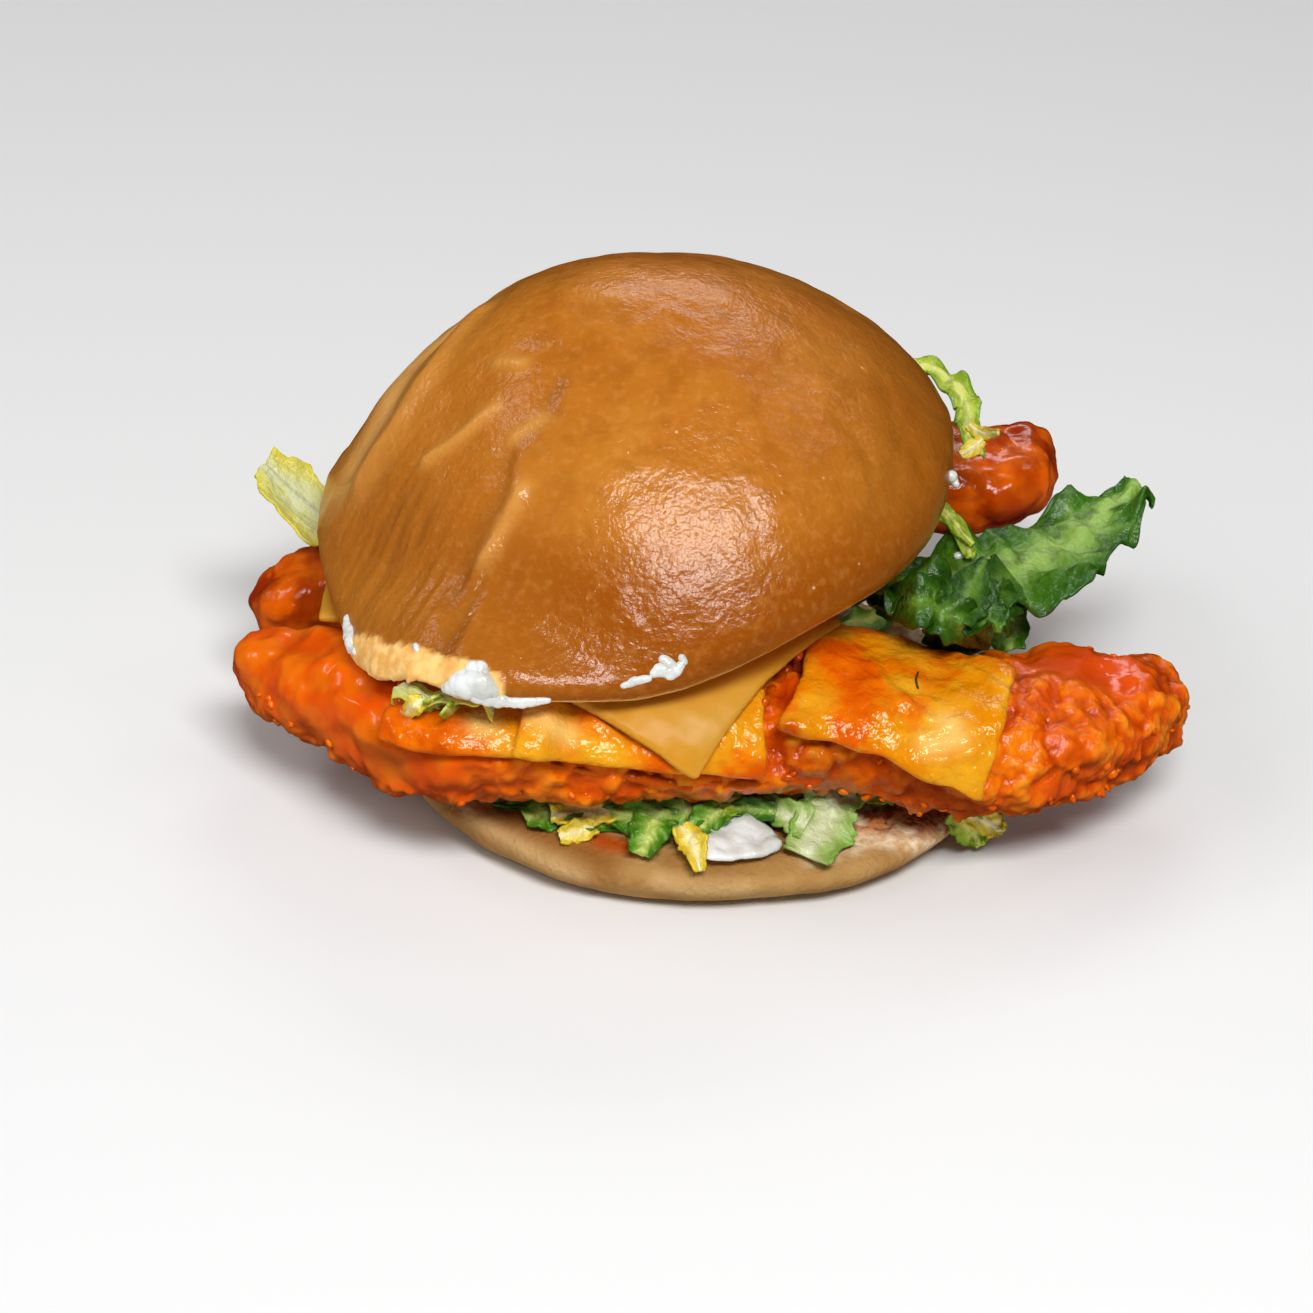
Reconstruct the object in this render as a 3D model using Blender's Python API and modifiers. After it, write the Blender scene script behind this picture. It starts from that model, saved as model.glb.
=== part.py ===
"""Chicken burger: a glazed bun, two sauced fried chicken tenders, cheese slices, lettuce and mayonnaise.

Metres, +Z up. The origin is the centre of the flat face that the bun heel rests on. +X runs along the
front tender, and -Y is the front, where the cheese and the lettuce hang out of the bun.
The pieces are stacked from the heel upwards, and each one is fitted over what already lies below it.
"""

import math

import bmesh
import bpy
from mathutils import Matrix, Vector, noise
from mathutils.bvhtree import BVHTree

MM = 0.001
GAP = 0.5 * MM  # air left between two pieces that touch
SKY = 0.2  # height from which the stack is probed downwards

# Bun heel, the lower half: radius and height in millimetres, from the middle of the base round to the top.
# The filling and the crown are placed first and the heel sits a little to their front left. The origin
# is moved to the heel's centre at the end.
HEEL_CENTRE = Vector((-3.7, -4.0, 0.0)) * MM
HEEL_PROFILE = (
    (0.0, 0.0),
    (30.0, 0.0),
    (49.0, 0.0),
    (53.0, 1.7),
    (55.4, 4.2),
    (55.8, 6.3),
    (54.6, 8.3),
    (51.5, 9.3),
    (44.0, 10.0),
    (35.0, 10.6),
    (25.0, 11.3),
    (13.0, 11.8),
    (0.0, 12.0),
)

# Bun crown, the upper half
CROWN_RADIUS = 58.8 * MM
CROWN_DOME = 45.5 * MM
CROWN_RIM_DROP = 8.0 * MM
CROWN_CENTRE = Vector((-16.8, 8.0, 43.5)) * MM
CROWN_LEAN = math.radians(-15.3)  # it has slid down to the left
CROWN_PITCH = math.radians(2.5)
CROWN_PROFILE = 1.235  # 1 is a half ellipse, more is nearer to a cone
CROWN_RIM_REACH = (6.0 * MM, 1.5)  # how far up a bump below still shows: at least, and per its height

# Front tender: along X, centre Y, centre Z, half depth, half height, all in millimetres
FRONT_TENDER = (
    (-88.0, -15.0, 19.5, 9.0, 8.0),
    (-80.0, -17.5, 20.0, 12.0, 9.3),
    (-74.0, -21.5, 20.5, 14.0, 9.6),
    (-66.0, -27.0, 21.2, 16.0, 10.0),
    (-57.0, -33.5, 21.6, 17.5, 9.4),
    (-48.0, -37.3, 22.4, 18.2, 9.5),
    (-33.0, -36.4, 22.9, 18.5, 9.5),
    (-20.0, -35.4, 22.9, 18.5, 9.4),
    (-4.0, -32.6, 22.9, 18.5, 9.4),
    (10.0, -29.8, 22.9, 18.0, 9.4),
    (27.0, -28.0, 22.1, 18.0, 9.6),
    (40.0, -30.0, 21.1, 18.5, 10.1),
    (50.0, -28.5, 21.5, 18.5, 11.0),
    (58.0, -25.0, 21.0, 19.5, 10.6),
    (66.0, -21.5, 21.0, 20.0, 10.6),
    (72.0, -18.5, 20.5, 19.0, 10.5),
    (77.0, -15.0, 19.8, 18.5, 12.0),
    (84.5, -10.5, 18.5, 16.5, 13.5),
)
BACK_TENDER = (
    (-87.0, 9.0, 19.0, 14.0, 12.0),
    (-78.0, 11.0, 20.0, 13.5, 10.2),
    (-60.0, 18.0, 21.9, 14.5, 9.2),
    (-35.0, 27.0, 23.9, 16.0, 9.6),
    (-5.0, 38.0, 24.9, 16.0, 9.6),
    (22.0, 50.0, 25.9, 15.0, 9.4),
    (42.0, 58.0, 26.9, 14.0, 9.4),
    (56.0, 60.5, 27.3, 17.0, 11.0),
    (65.5, 62.0, 26.8, 21.0, 14.0),
)
TENDER_BOXINESS = 0.8  # 1 is an ellipse across, less is squarer
TENDER_TIP = 0.45  # 0.5 is a round tip, less is blunter
CRAG = 1.0 * MM  # depth of the breading's lumps
CRAG_SIZE = 8.0 * MM
NUB_SIZE = 3.8 * MM

# Cheese: the corners are X in millimetres and degrees round the tender, 0 on its top and 90 at its front
CHEESE_THICKNESS = 1.9 * MM
CHEESE_LIFT = 1.4 * MM  # clears the breading's lumps
SLICE_STEP = 2.5 * MM  # one slice lying on another
CHEESE_LEFT = ((-56.5, 66.0), (-30.0, 70.0), (-30.0, -38.0), (-52.0, -38.0))
CHEESE_MIDDLE = ((-34.5, 68.0), (8.0, 90.0), (6.0, -38.0), (-32.0, 14.0))
CHEESE_RIGHT = ((9.5, 54.0), (44.5, 91.0), (50.5, 2.0), (18.0, -42.0))
CLEAN_SLICE_SIDES = (30.0 * MM, 44.0 * MM)  # left and right of the corner that hangs over the front
CLEAN_SLICE_CORNER = (-4.0, 85.0)
CLEAN_SLICE_TURN = math.radians(34.0)  # its left edge, up from the tender's length

# Lettuce
LEAF_THICKNESS = 0.8 * MM
BED_RADIUS = 43.0 * MM
BED_THICKNESS = 1.6 * MM

# Mayonnaise
MAYO_THICKNESS = 1.0 * MM
MAYO_RADIUS = 34.0 * MM

# Points at which a triangle is tested, as weights of its corners
SAMPLES = [(i / 5, j / 5, (5 - i - j) / 5) for i in range(6) for j in range(6 - i)]

COLOURS = {
    "bun_glaze": ((0.42, 0.17, 0.035), 0.28),
    "bun_crumb": ((0.72, 0.52, 0.28), 0.75),
    "sauced_breading": ((0.70, 0.13, 0.012), 0.3),
    "sauced_cheese": ((0.86, 0.30, 0.02), 0.25),
    "cheese": ((0.83, 0.50, 0.13), 0.4),
    "romaine": ((0.10, 0.30, 0.03), 0.4),
    "pale_lettuce": ((0.55, 0.60, 0.16), 0.4),
    "mayonnaise": ((0.86, 0.84, 0.78), 0.3),
}


# Materials and objects

def coloured(name):
    """A Principled material in one of the burger's colours."""
    material = bpy.data.materials.get(name) or bpy.data.materials.new(name)
    material.use_nodes = True
    colour, roughness = COLOURS[name]
    shader = material.node_tree.nodes["Principled BSDF"]
    shader.inputs["Base Color"].default_value = (*colour, 1.0)
    shader.inputs["Roughness"].default_value = roughness
    shader.inputs["Metallic"].default_value = 0.0
    return material


def new_object(name, bm, material, collection):
    """Turns an edited mesh into a smooth-shaded object."""
    mesh = bpy.data.meshes.new(name)
    bm.to_mesh(mesh)
    bm.free()
    mesh.shade_smooth()
    mesh.materials.append(coloured(material))
    obj = bpy.data.objects.new(name, mesh)
    collection.objects.link(obj)
    return obj


class Stack:
    """The pieces laid so far, as one surface that the next piece can be fitted over."""

    def __init__(self):
        self.points = []
        self.faces = []
        self.tree = None

    def lay(self, obj):
        """Adds an object, with its modifiers, to the stack."""
        bpy.context.view_layer.update()
        evaluated = obj.evaluated_get(bpy.context.evaluated_depsgraph_get())
        mesh = evaluated.to_mesh()
        first = len(self.points)
        self.points += [evaluated.matrix_world @ v.co for v in mesh.vertices]
        self.faces += [tuple(first + k for k in p.vertices) for p in mesh.polygons]
        evaluated.to_mesh_clear()
        self.tree = BVHTree.FromPolygons(self.points, self.faces)
        return obj

    def top(self, x, y):
        """Height of the highest surface under a point, or 0 where there is none."""
        hit = self.tree.ray_cast(Vector((x, y, SKY)), Vector((0, 0, -1)))[0]
        return hit.z if hit else 0.0

    def top_near(self, x, y, reach):
        """Highest surface within reach of a point."""
        highest = self.top(x, y)
        for ring, count in ((0.5, 6), (1.0, 12)):
            for k in range(count):
                angle = 2 * math.pi * k / count
                ring_x = x + ring * reach * math.cos(angle)
                ring_y = y + ring * reach * math.sin(angle)
                highest = max(highest, self.top(ring_x, ring_y))
        return highest

    def crest(self, x, y, reach=0.5 * MM):
        """Highest surface at a point and just beside it, so that a steep edge isn't missed."""
        beside = (x - reach, y), (x + reach, y), (x, y - reach), (x, y + reach)
        return max(self.top(x, y), *(self.top(*place) for place in beside))

    def settle(self, bm, wanted, gap=GAP):
        """Raises the wanted faces of a piece, no more than needed, until they clear the stack."""
        bmesh.ops.triangulate(bm, faces=[face for face in bm.faces if wanted(face)])
        bm.normal_update()
        tests = []
        for face in bm.faces:
            if not wanted(face):
                continue
            corners = [v.co for v in face.verts]
            for weights in SAMPLES:
                p = sum((w * corner for w, corner in zip(weights, corners)), Vector())
                tests.append((face.verts[:], weights, self.crest(p.x, p.y) + gap))
        for share in (0.4, 0.5, 0.6, 1.0):
            for corners, weights, needed in tests:
                short = needed - sum(w * v.co.z for w, v in zip(weights, corners))
                if short > 0:
                    push = share * short / sum(w * w for w in weights)
                    for w, v in zip(weights, corners):
                        v.co.z += w * push
        bm.normal_update()


# Small maths

def lerp(a, b, t):
    return a + (b - a) * t


def smooth_step(low, high, value):
    """0 below low, 1 above high, and a smooth rise between."""
    t = min(1.0, max(0.0, (value - low) / (high - low)))
    return t * t * (3 - 2 * t)


def power(value, exponent):
    """Power that keeps the sign."""
    return math.copysign(abs(value) ** exponent, value)


def bump(x, centre, width):
    """A bell of height 1."""
    return math.exp(-(((x - centre) / width) ** 2))


def turned_apart(a, b):
    """Signed difference of two directions in degrees, from -180 to 180."""
    return (a - b + 180) % 360 - 180


def along(stations, x):
    """The row of a station table at x, on a smooth curve through the rows (Catmull-Rom)."""
    last = len(stations) - 1
    i = next((k for k in range(last) if x <= stations[k + 1][0]), last - 1)
    rows = [stations[min(max(k, 0), last)] for k in (i - 1, i, i + 1, i + 2)]
    t = (x - rows[1][0]) / (rows[2][0] - rows[1][0])
    found = []
    for a, b, c, d in zip(*rows):
        slope_b, slope_c = (c - a) / 2, (d - b) / 2
        found.append(
            (2 * t**3 - 3 * t**2 + 1) * b
            + (t**3 - 2 * t**2 + t) * slope_b
            + (-2 * t**3 + 3 * t**2) * c
            + (t**3 - t**2) * slope_c
        )
    return found


def face_outwards(bm):
    """Makes every face of a closed mesh point outwards."""
    bmesh.ops.recalc_face_normals(bm, faces=bm.faces)
    if bm.calc_volume(signed=True) < 0:
        bmesh.ops.reverse_faces(bm, faces=bm.faces)
    bm.normal_update()


def lathe(profile_rows, sides):
    """A sphere's mesh with one ring per profile row, from the lower pole to the upper one.

    Returns the mesh and each vertex's row number and direction round the axis.
    """
    rows = profile_rows - 1
    bm = bmesh.new()
    bmesh.ops.create_uvsphere(bm, u_segments=sides, v_segments=rows, radius=1.0)
    places = {}
    for v in bm.verts:
        latitude = math.asin(max(-1.0, min(1.0, v.co.z)))
        row = round((latitude / math.pi + 0.5) * rows)
        places[v] = row, math.atan2(v.co.y, v.co.x)
    return bm, places


# Bun heel

def make_heel(collection):
    """The squashed lower bun: flat underneath, pale bulged side, cut face that falls to its rim."""
    bm, places = lathe(len(HEEL_PROFILE), 44)
    for v, (row, angle) in places.items():
        radius, height = (value * MM for value in HEEL_PROFILE[row])
        if height > 0:
            uneven = noise.noise(Vector((2 * math.cos(angle), 2 * math.sin(angle), height / (12 * MM))))
            radius *= 1 + 0.016 * uneven * radius / HEEL_PROFILE[5][0] / MM
            low_right = 1.8 * MM * bump(turned_apart(math.degrees(angle), -43), 0, 32)
            height -= low_right * smooth_step(4 * MM, 8 * MM, height) * smooth_step(25 * MM, 48 * MM, radius)
            lump = Vector((radius * math.cos(angle), radius * math.sin(angle), 0)) / (13 * MM)
            height += 0.5 * MM * noise.noise(lump) * smooth_step(0, 4 * MM, height)
        v.co = HEEL_CENTRE + Vector((radius * math.cos(angle), radius * math.sin(angle), height))
    face_outwards(bm)
    return new_object("bun_heel", bm, "bun_crumb", collection)


# Tenders

def tender_point(stations, x, angle, out):
    """Point on a tender's smooth skin: angle 0 is its top and 90 degrees its front, out is outwards."""
    _, y, z, depth, height = (value * MM for value in along(stations, x / MM))
    first, last = stations[0][0] * MM, stations[-1][0] * MM
    middle, half = (first + last) / 2, (last - first) / 2
    end = min(1.0, abs((x - middle) / half))
    taper = (1 - end**6) ** TENDER_TIP
    return Vector(
        (
            x,
            y - power(math.sin(angle), TENDER_BOXINESS) * (depth * taper + out),
            z + power(math.cos(angle), TENDER_BOXINESS) * (height * taper + out),
        )
    )


def crags(p, seed):
    """Relief of the fried breading at a point, from -1.3 to 0.8 of its depth."""
    lumps = noise.noise(p / CRAG_SIZE + Vector((seed, 0, 0)))
    nubs = noise.noise(p / NUB_SIZE + Vector((0, seed, 0)))
    return max(-1.3, min(0.8, 1.6 * lumps + 0.9 * nubs - 0.1))


def make_tender(name, stations, sides, rings, seed, stack, collection):
    """A long fried tender: a stretched sphere with its poles at the tips, settled on what lies below."""
    first, last = stations[0][0] * MM, stations[-1][0] * MM
    bm, places = lathe(rings, sides)
    skin = {}
    for v, (row, angle) in places.items():
        x = lerp(first, last, (1 - math.cos(math.pi * row / (rings - 1))) / 2)
        x = lerp(x, lerp(first, last, row / (rings - 1)), 0.6)
        skin[v] = tender_point(stations, x, angle, 0)
        v.co = skin[v]
    face_outwards(bm)
    relief = {v: v.normal * CRAG * crags(skin[v], seed) for v in bm.verts}
    for v, offset in relief.items():
        v.co += offset
    stack.settle(bm, lambda face: face.normal.z < -0.25)
    return new_object(name, bm, "sauced_breading", collection)


# Sheets: cheese and leaves

def open_grid(cells_s, cells_t, place):
    """An open surface: place(s, t) gives the point for s and t from 0 to 1. Split into triangles."""
    bm = bmesh.new()
    bmesh.ops.create_grid(bm, x_segments=cells_s, y_segments=cells_t, size=0.5)
    for v in bm.verts:
        v.co = place(v.co.x + 0.5, v.co.y + 0.5)
    bmesh.ops.triangulate(bm, faces=bm.faces)
    bm.normal_update()
    if sum(face.normal.z * face.calc_area() for face in bm.faces) < 0:
        bmesh.ops.reverse_faces(bm, faces=bm.faces)
    return bm


def thicken(obj, thickness, offset):
    """Solidify: offset 1 grows along the normals, 0 grows both ways."""
    shell = obj.modifiers.new("thickness", "SOLIDIFY")
    shell.thickness = thickness
    shell.offset = offset
    shell.use_even_offset = False
    return obj


def make_slice(name, corners, cells, sag, under, stack, collection):
    """A sauced cheese slice softened over the front tender; under(x) is what it lies on there."""
    (ax, aa), (bx, ba), (cx, ca), (dx, da) = corners

    def place(s, t):
        x = lerp(lerp(ax, bx, s), lerp(dx, cx, s), t)
        angle = math.radians(lerp(lerp(aa, ba, s), lerp(da, ca, s), t))
        wave = sag * abs(noise.noise(Vector((x / 9, angle * 2.2, ax))))
        return tender_point(FRONT_TENDER, x * MM, angle, CHEESE_LIFT + under(x) + wave)

    bm = open_grid(*cells, place)
    stack.settle(bm, lambda face: face.normal.z > 0.6)
    obj = new_object(name, bm, "sauced_cheese", collection)
    return thicken(obj, CHEESE_THICKNESS, 1.0)


def clean_slice_place(x, arc):
    """Point of the clean slice: arc is the distance up and over the tender from its hanging corner."""
    lift = CHEESE_LIFT + SLICE_STEP * (1 + smooth_step(-24.5, -28.5, x))
    angle = math.radians(CLEAN_SLICE_CORNER[1])
    step = math.radians(2.0)
    here = tender_point(FRONT_TENDER, x * MM, angle, lift)
    travelled = 0.0
    while angle > math.radians(-12.0):
        ahead = tender_point(FRONT_TENDER, x * MM, angle - step, lift)
        length = (ahead - here).length
        if travelled + length >= arc:
            return here.lerp(ahead, (arc - travelled) / length)
        travelled += length
        angle -= step
        here = ahead
    return here + Vector((0, arc - travelled, -0.04 * (arc - travelled)))


def make_clean_slice(stack, collection):
    """The clean slice on top: its corner hangs over the front and the rest runs through the burger."""
    cos_turn, sin_turn = math.cos(CLEAN_SLICE_TURN), math.sin(CLEAN_SLICE_TURN)

    def place(s, t):
        left, right = s * CLEAN_SLICE_SIDES[0], t * CLEAN_SLICE_SIDES[1]
        x = CLEAN_SLICE_CORNER[0] * MM - left * cos_turn + right * sin_turn
        return clean_slice_place(x / MM, left * sin_turn + right * cos_turn)

    bm = open_grid(8, 11, place)
    stack.settle(bm, lambda face: face.normal.z > 0.6)
    obj = new_object("cheese_clean", bm, "cheese", collection)
    return thicken(obj, CHEESE_THICKNESS * 0.9, 1.0)


def make_bridge_slice(name, centre, sides, cells, stack, collection):
    """A cheese slice lying across both tenders, sagging a little between them."""

    def place(s, t):
        sag = 1.6 * math.sin(math.pi * t) * noise.noise(Vector((3 * s, 2 * t, 4.0)))
        x, y = centre[0] + (s - 0.5) * sides[0], centre[1] + (t - 0.5) * sides[1]
        return Vector((x, y, centre[2] - abs(sag))) * MM

    bm = open_grid(*cells, place)
    stack.settle(bm, lambda face: True)
    obj = new_object(name, bm, "cheese", collection)
    return thicken(obj, CHEESE_THICKNESS * 0.9, 1.0)


def leaf_grid(spine, widths, cells, ruffle, waves, seed, cup, stack):
    """A ruffled leaf or shred along a spine of points in mm, as an open surface laid on the stack."""
    count = len(spine) - 1
    table = [(k / count, *point, width) for k, (point, width) in enumerate(zip(spine, widths))]
    forward = Vector(spine[-1]) - Vector(spine[0])
    side = Vector((-forward.y, forward.x, 0)).normalized()

    def place(s, t):
        _, x, y, z, width = along(table, s)
        across = 2 * t - 1
        edge = abs(across) ** 1.6
        wander = noise.noise(Vector((s * 4, across * 1.5, seed)))
        frill = ruffle * edge * math.sin(waves * 2 * math.pi * s + seed + 1.3 * across)
        notch = 1 + 0.3 * edge * noise.noise(Vector((s * 9, across, seed + 5)))
        p = Vector((x, y, z)) + side * (across * width * notch)
        p.z += frill + cup * across**2 + 0.5 * ruffle * wander
        return p * MM

    bm = open_grid(*cells, place)
    stack.settle(bm, lambda face: True, GAP + 0.6 * LEAF_THICKNESS)
    return bm


def make_leaf(name, spine, widths, cells, ruffle, waves, seed, cup, material, stack, collection):
    """One leaf as its own solid."""
    bm = leaf_grid(spine, widths, cells, ruffle, waves, seed, cup, stack)
    obj = new_object(name, bm, material, collection)
    return thicken(obj, LEAF_THICKNESS, 0.0)


def drop_cavities(mesh):
    """Fills the pockets that overlapping leaves seal in: their walls are shells of negative volume."""
    bm = bmesh.new()
    bm.from_mesh(mesh)
    bmesh.ops.remove_doubles(bm, verts=bm.verts, dist=0.002 * MM)
    bmesh.ops.triangulate(bm, faces=bm.faces)
    left = set(bm.faces)
    pockets = []
    while left:
        shell, edge_of_shell = set(), [left.pop()]
        while edge_of_shell:
            face = edge_of_shell.pop()
            shell.add(face)
            near = {other for edge in face.edges for other in edge.link_faces}
            edge_of_shell += near & left
            left -= near
        corners = [[v.co for v in face.verts] for face in shell]
        if sum(a.dot(b.cross(c)) for a, b, c in corners) / 6 < MM**3:
            pockets += shell
    bmesh.ops.delete(bm, geom=pockets, context="FACES")
    bmesh.ops.delete(bm, geom=[v for v in bm.verts if not v.link_faces], context="VERTS")
    bm.to_mesh(mesh)
    bm.free()


def union(name, pieces, material, collection):
    """Fuses overlapping solids into one body and removes the pieces."""
    group = bpy.data.collections.new(name + "_pieces")
    bpy.context.scene.collection.children.link(group)
    first = pieces[0]
    for piece in pieces[1:]:
        for owner in piece.users_collection:
            owner.objects.unlink(piece)
        group.objects.link(piece)
    join = first.modifiers.new("join", "BOOLEAN")
    join.operation = "UNION"
    join.operand_type = "COLLECTION"
    join.collection = group
    join.solver = "EXACT"
    join.use_self = True
    bpy.context.view_layer.update()
    graph = bpy.context.evaluated_depsgraph_get()
    mesh = bpy.data.meshes.new_from_object(first.evaluated_get(graph))
    drop_cavities(mesh)
    mesh.name = name
    mesh.materials.clear()
    mesh.materials.append(coloured(material))
    fused = bpy.data.objects.new(name, mesh)
    collection.objects.link(fused)
    for piece in pieces:
        bpy.data.objects.remove(piece)
    bpy.data.collections.remove(group)
    return fused


# Lettuce bed on the heel: direction in degrees, inner and outer radius, drop, half width of each shred
BED_SHREDS = (
    (-121.0, 34.0, 57.0, 1.2, 5.0),
    (-112.0, 34.0, 56.0, 0.6, 4.0),
    (-102.0, 34.0, 57.0, 2.6, 5.0),
    (-94.0, 34.0, 53.5, 0.2, 5.0),
    (-89.0, 34.0, 57.5, 5.0, 2.4),
    (-69.0, 34.0, 57.0, 2.8, 6.5),
    (-54.0, 34.0, 52.5, 0.2, 3.5),
    (-35.0, 34.0, 65.0, 5.0, 4.0),
    (-148.0, 34.0, 60.0, 2.0, 3.5),
    (170.0, 34.0, 59.0, 4.0, 4.5),
    (133.0, 34.0, 58.0, 3.0, 5.0),
    (96.0, 34.0, 58.5, 5.0, 4.5),
    (60.0, 34.0, 58.5, 4.5, 4.5),
    (20.0, 34.0, 60.0, 4.5, 4.5),
)


SHREDS_IN_FRONT = 8


def make_bed_core(stack, collection):
    """The pressed middle of the shredded lettuce: a thin uneven pad on the heel."""
    bm, places = lathe(9, 22)
    floor = {}
    for v, (row, angle) in places.items():
        reach = math.sin(math.pi * row / 8)
        radius = BED_RADIUS * (1 + 0.06 * math.sin(5 * angle) + 0.04 * math.sin(3 * angle + 1)) * reach
        x = HEEL_CENTRE.x + radius * math.cos(angle)
        y = HEEL_CENTRE.y + radius * math.sin(angle)
        floor[v] = stack.top_near(x, y, 4.0 * MM) + GAP
        rise = 0.5 - 0.5 * power(math.cos(math.pi * row / 8), 0.5)
        lumps = 1 + 0.35 * noise.noise(Vector((x, y, 0)) / (9 * MM))
        v.co = Vector((x, y, floor[v] + rise * BED_THICKNESS * lumps))
    face_outwards(bm)
    return new_object("bed_core", bm, "romaine", collection)


def shred_spine(angle, start, stop, drop):
    """Spine in mm of a shred that runs out over the heel's rim at an angle and hangs down by drop."""
    points = []
    for k in range(5):
        radius = lerp(start, stop, k / 4)
        height = 12.2 - drop * smooth_step(0.4, 1.0, k / 4)
        x = HEEL_CENTRE.x / MM + radius * math.cos(angle)
        y = HEEL_CENTRE.y / MM + radius * math.sin(angle)
        points.append((x, y, height))
    return points


def make_bed(stack, collection):
    """The shredded lettuce under the chicken, one heap with the shreds that hang out of the bun."""
    pieces = [make_bed_core(stack, collection)]
    for k, (degrees, start, stop, drop, width) in enumerate(BED_SHREDS):
        spine = shred_spine(math.radians(degrees), start, stop, drop)
        widths = [width * (0.9 + 0.25 * math.sin(1.9 * k + j)) for j in range(4)] + [width * 0.45]
        cells = (6, 3) if k < SHREDS_IN_FRONT else (4, 2)
        bm = leaf_grid(spine, widths, cells, 0.8, 1.5, 1.7 * k, 0.3, stack)
        shred = new_object(f"shred_{k}", bm, "romaine", collection)
        pieces.append(thicken(shred, LEAF_THICKNESS * 1.25, 0.0))
    return union("lettuce_bed", pieces, "romaine", collection)


# Mayonnaise

def make_mayo_blob(stack, collection):
    """The spoonful on the heel that has squeezed out under the lettuce at the front."""
    bm, places = lathe(8, 18)
    for v, (row, angle) in places.items():
        reach = math.sin(math.pi * row / 7)
        uneven = 1 + 0.12 * math.sin(3 * angle + 2)
        x = 2.0 * MM + 8.5 * MM * reach * uneven * math.cos(angle)
        y = -50.0 * MM + 7.5 * MM * reach * uneven * math.sin(angle)
        rise = 0.5 - 0.5 * power(math.cos(math.pi * row / 7), 0.7)
        v.co = Vector((x, y, stack.top_near(x, y, 2.4 * MM) + GAP + rise * 2.0 * MM))
    face_outwards(bm)
    return new_object("mayo_heel", bm, "mayonnaise", collection)


# Where the mayonnaise shows at the crown's rim: degrees round the crown, extra reach in mm, spread
MAYO_LOBES = (
    (-142.0, 16.0, 6.0),
    (-108.0, 16.0, 8.0),
    (-44.0, 16.0, 8.0),
    (6.0, 18.0, 8.0),
    (120.0, 18.0, 10.0),
)


def cut_height(x, y):
    """Height of the crown's cut face before the filling presses it up."""
    lean = Matrix.Rotation(CROWN_LEAN, 3, "Y") @ Matrix.Rotation(CROWN_PITCH, 3, "X")
    normal = lean @ Vector((0, 0, 1))
    middle = CROWN_CENTRE - normal * CROWN_RIM_DROP
    return middle.z - (normal.x * (x - middle.x) + normal.y * (y - middle.y)) / normal.z


def make_mayo_layer(stack, collection):
    """The mayonnaise spread under the crown, which shows as dribbles along its rim."""
    bm, places = lathe(13, 44)
    floor = {}
    for v, (row, angle) in places.items():
        outline = MAYO_RADIUS
        for degrees, extra, spread in MAYO_LOBES:
            outline += extra * MM * bump(turned_apart(math.degrees(angle), degrees), 0, spread)
        radius = outline * math.sin(math.pi * row / 12)
        x = CROWN_CENTRE.x + radius * math.cos(angle)
        y = CROWN_CENTRE.y + radius * math.sin(angle)
        key = round(x, 6), round(y, 6)
        floor[v] = key
        v.co = Vector((x, y, 0.0))
    face_outwards(bm)
    lower = {v for v, (row, _) in places.items() if row <= 6}
    for v in bm.verts:
        under_crown = cut_height(v.co.x, v.co.y) - MAYO_THICKNESS - GAP
        v.co.z = max(stack.top(v.co.x, v.co.y) + GAP, under_crown)
    stack.settle(bm, lambda face: all(v in lower for v in face.verts))
    heights = {floor[v]: v.co.z for v in lower}
    for v, (row, _) in places.items():
        if v not in lower:
            edge = math.sin(math.pi * row / 12)
            v.co.z = heights[floor[v]] + MAYO_THICKNESS * (1 - edge**4)
    return new_object("mayo_crown", bm, "mayonnaise", collection)


# Bun crown

CROWN_ROWS = 27
CROWN_SIDES = 44
CUT_ROWS = 7  # rows of the cut face, from its middle to the rim
RIM_ROWS = 4  # rows of the rounded rim, up to the widest ring


def lip(longitude):
    """How far the soft rim spreads at the front, and most of all at the left front."""
    degrees = math.degrees(longitude)
    front = 4.5 * MM * bump(turned_apart(degrees, -100), 0, 40)
    corner = 10.5 * MM * bump(turned_apart(degrees, -121), 0, 21)
    return front + corner


def gape(longitude):
    """How far the rim stands up off the filling, at the right front and at the right."""
    degrees = math.degrees(longitude)
    front_right = 4.3 * MM * bump(turned_apart(degrees, -60), 0, 27)
    right = 4.7 * MM * bump(turned_apart(degrees, -2), 0, 17)
    return front_right + right


def sag(longitude):
    """How far the soft rim hangs down past the filling, most of all at the left front."""
    degrees = math.degrees(longitude)
    corner = 6.8 * MM * bump(turned_apart(degrees, -134), 0, 22)
    front = 1.0 * MM * bump(turned_apart(degrees, -98), 0, 18)
    return corner + front


def slump(longitude):
    """How far the left front of the rim has slid forward."""
    return 2.2 * MM * bump(turned_apart(math.degrees(longitude), -142), 0, 24)


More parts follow.
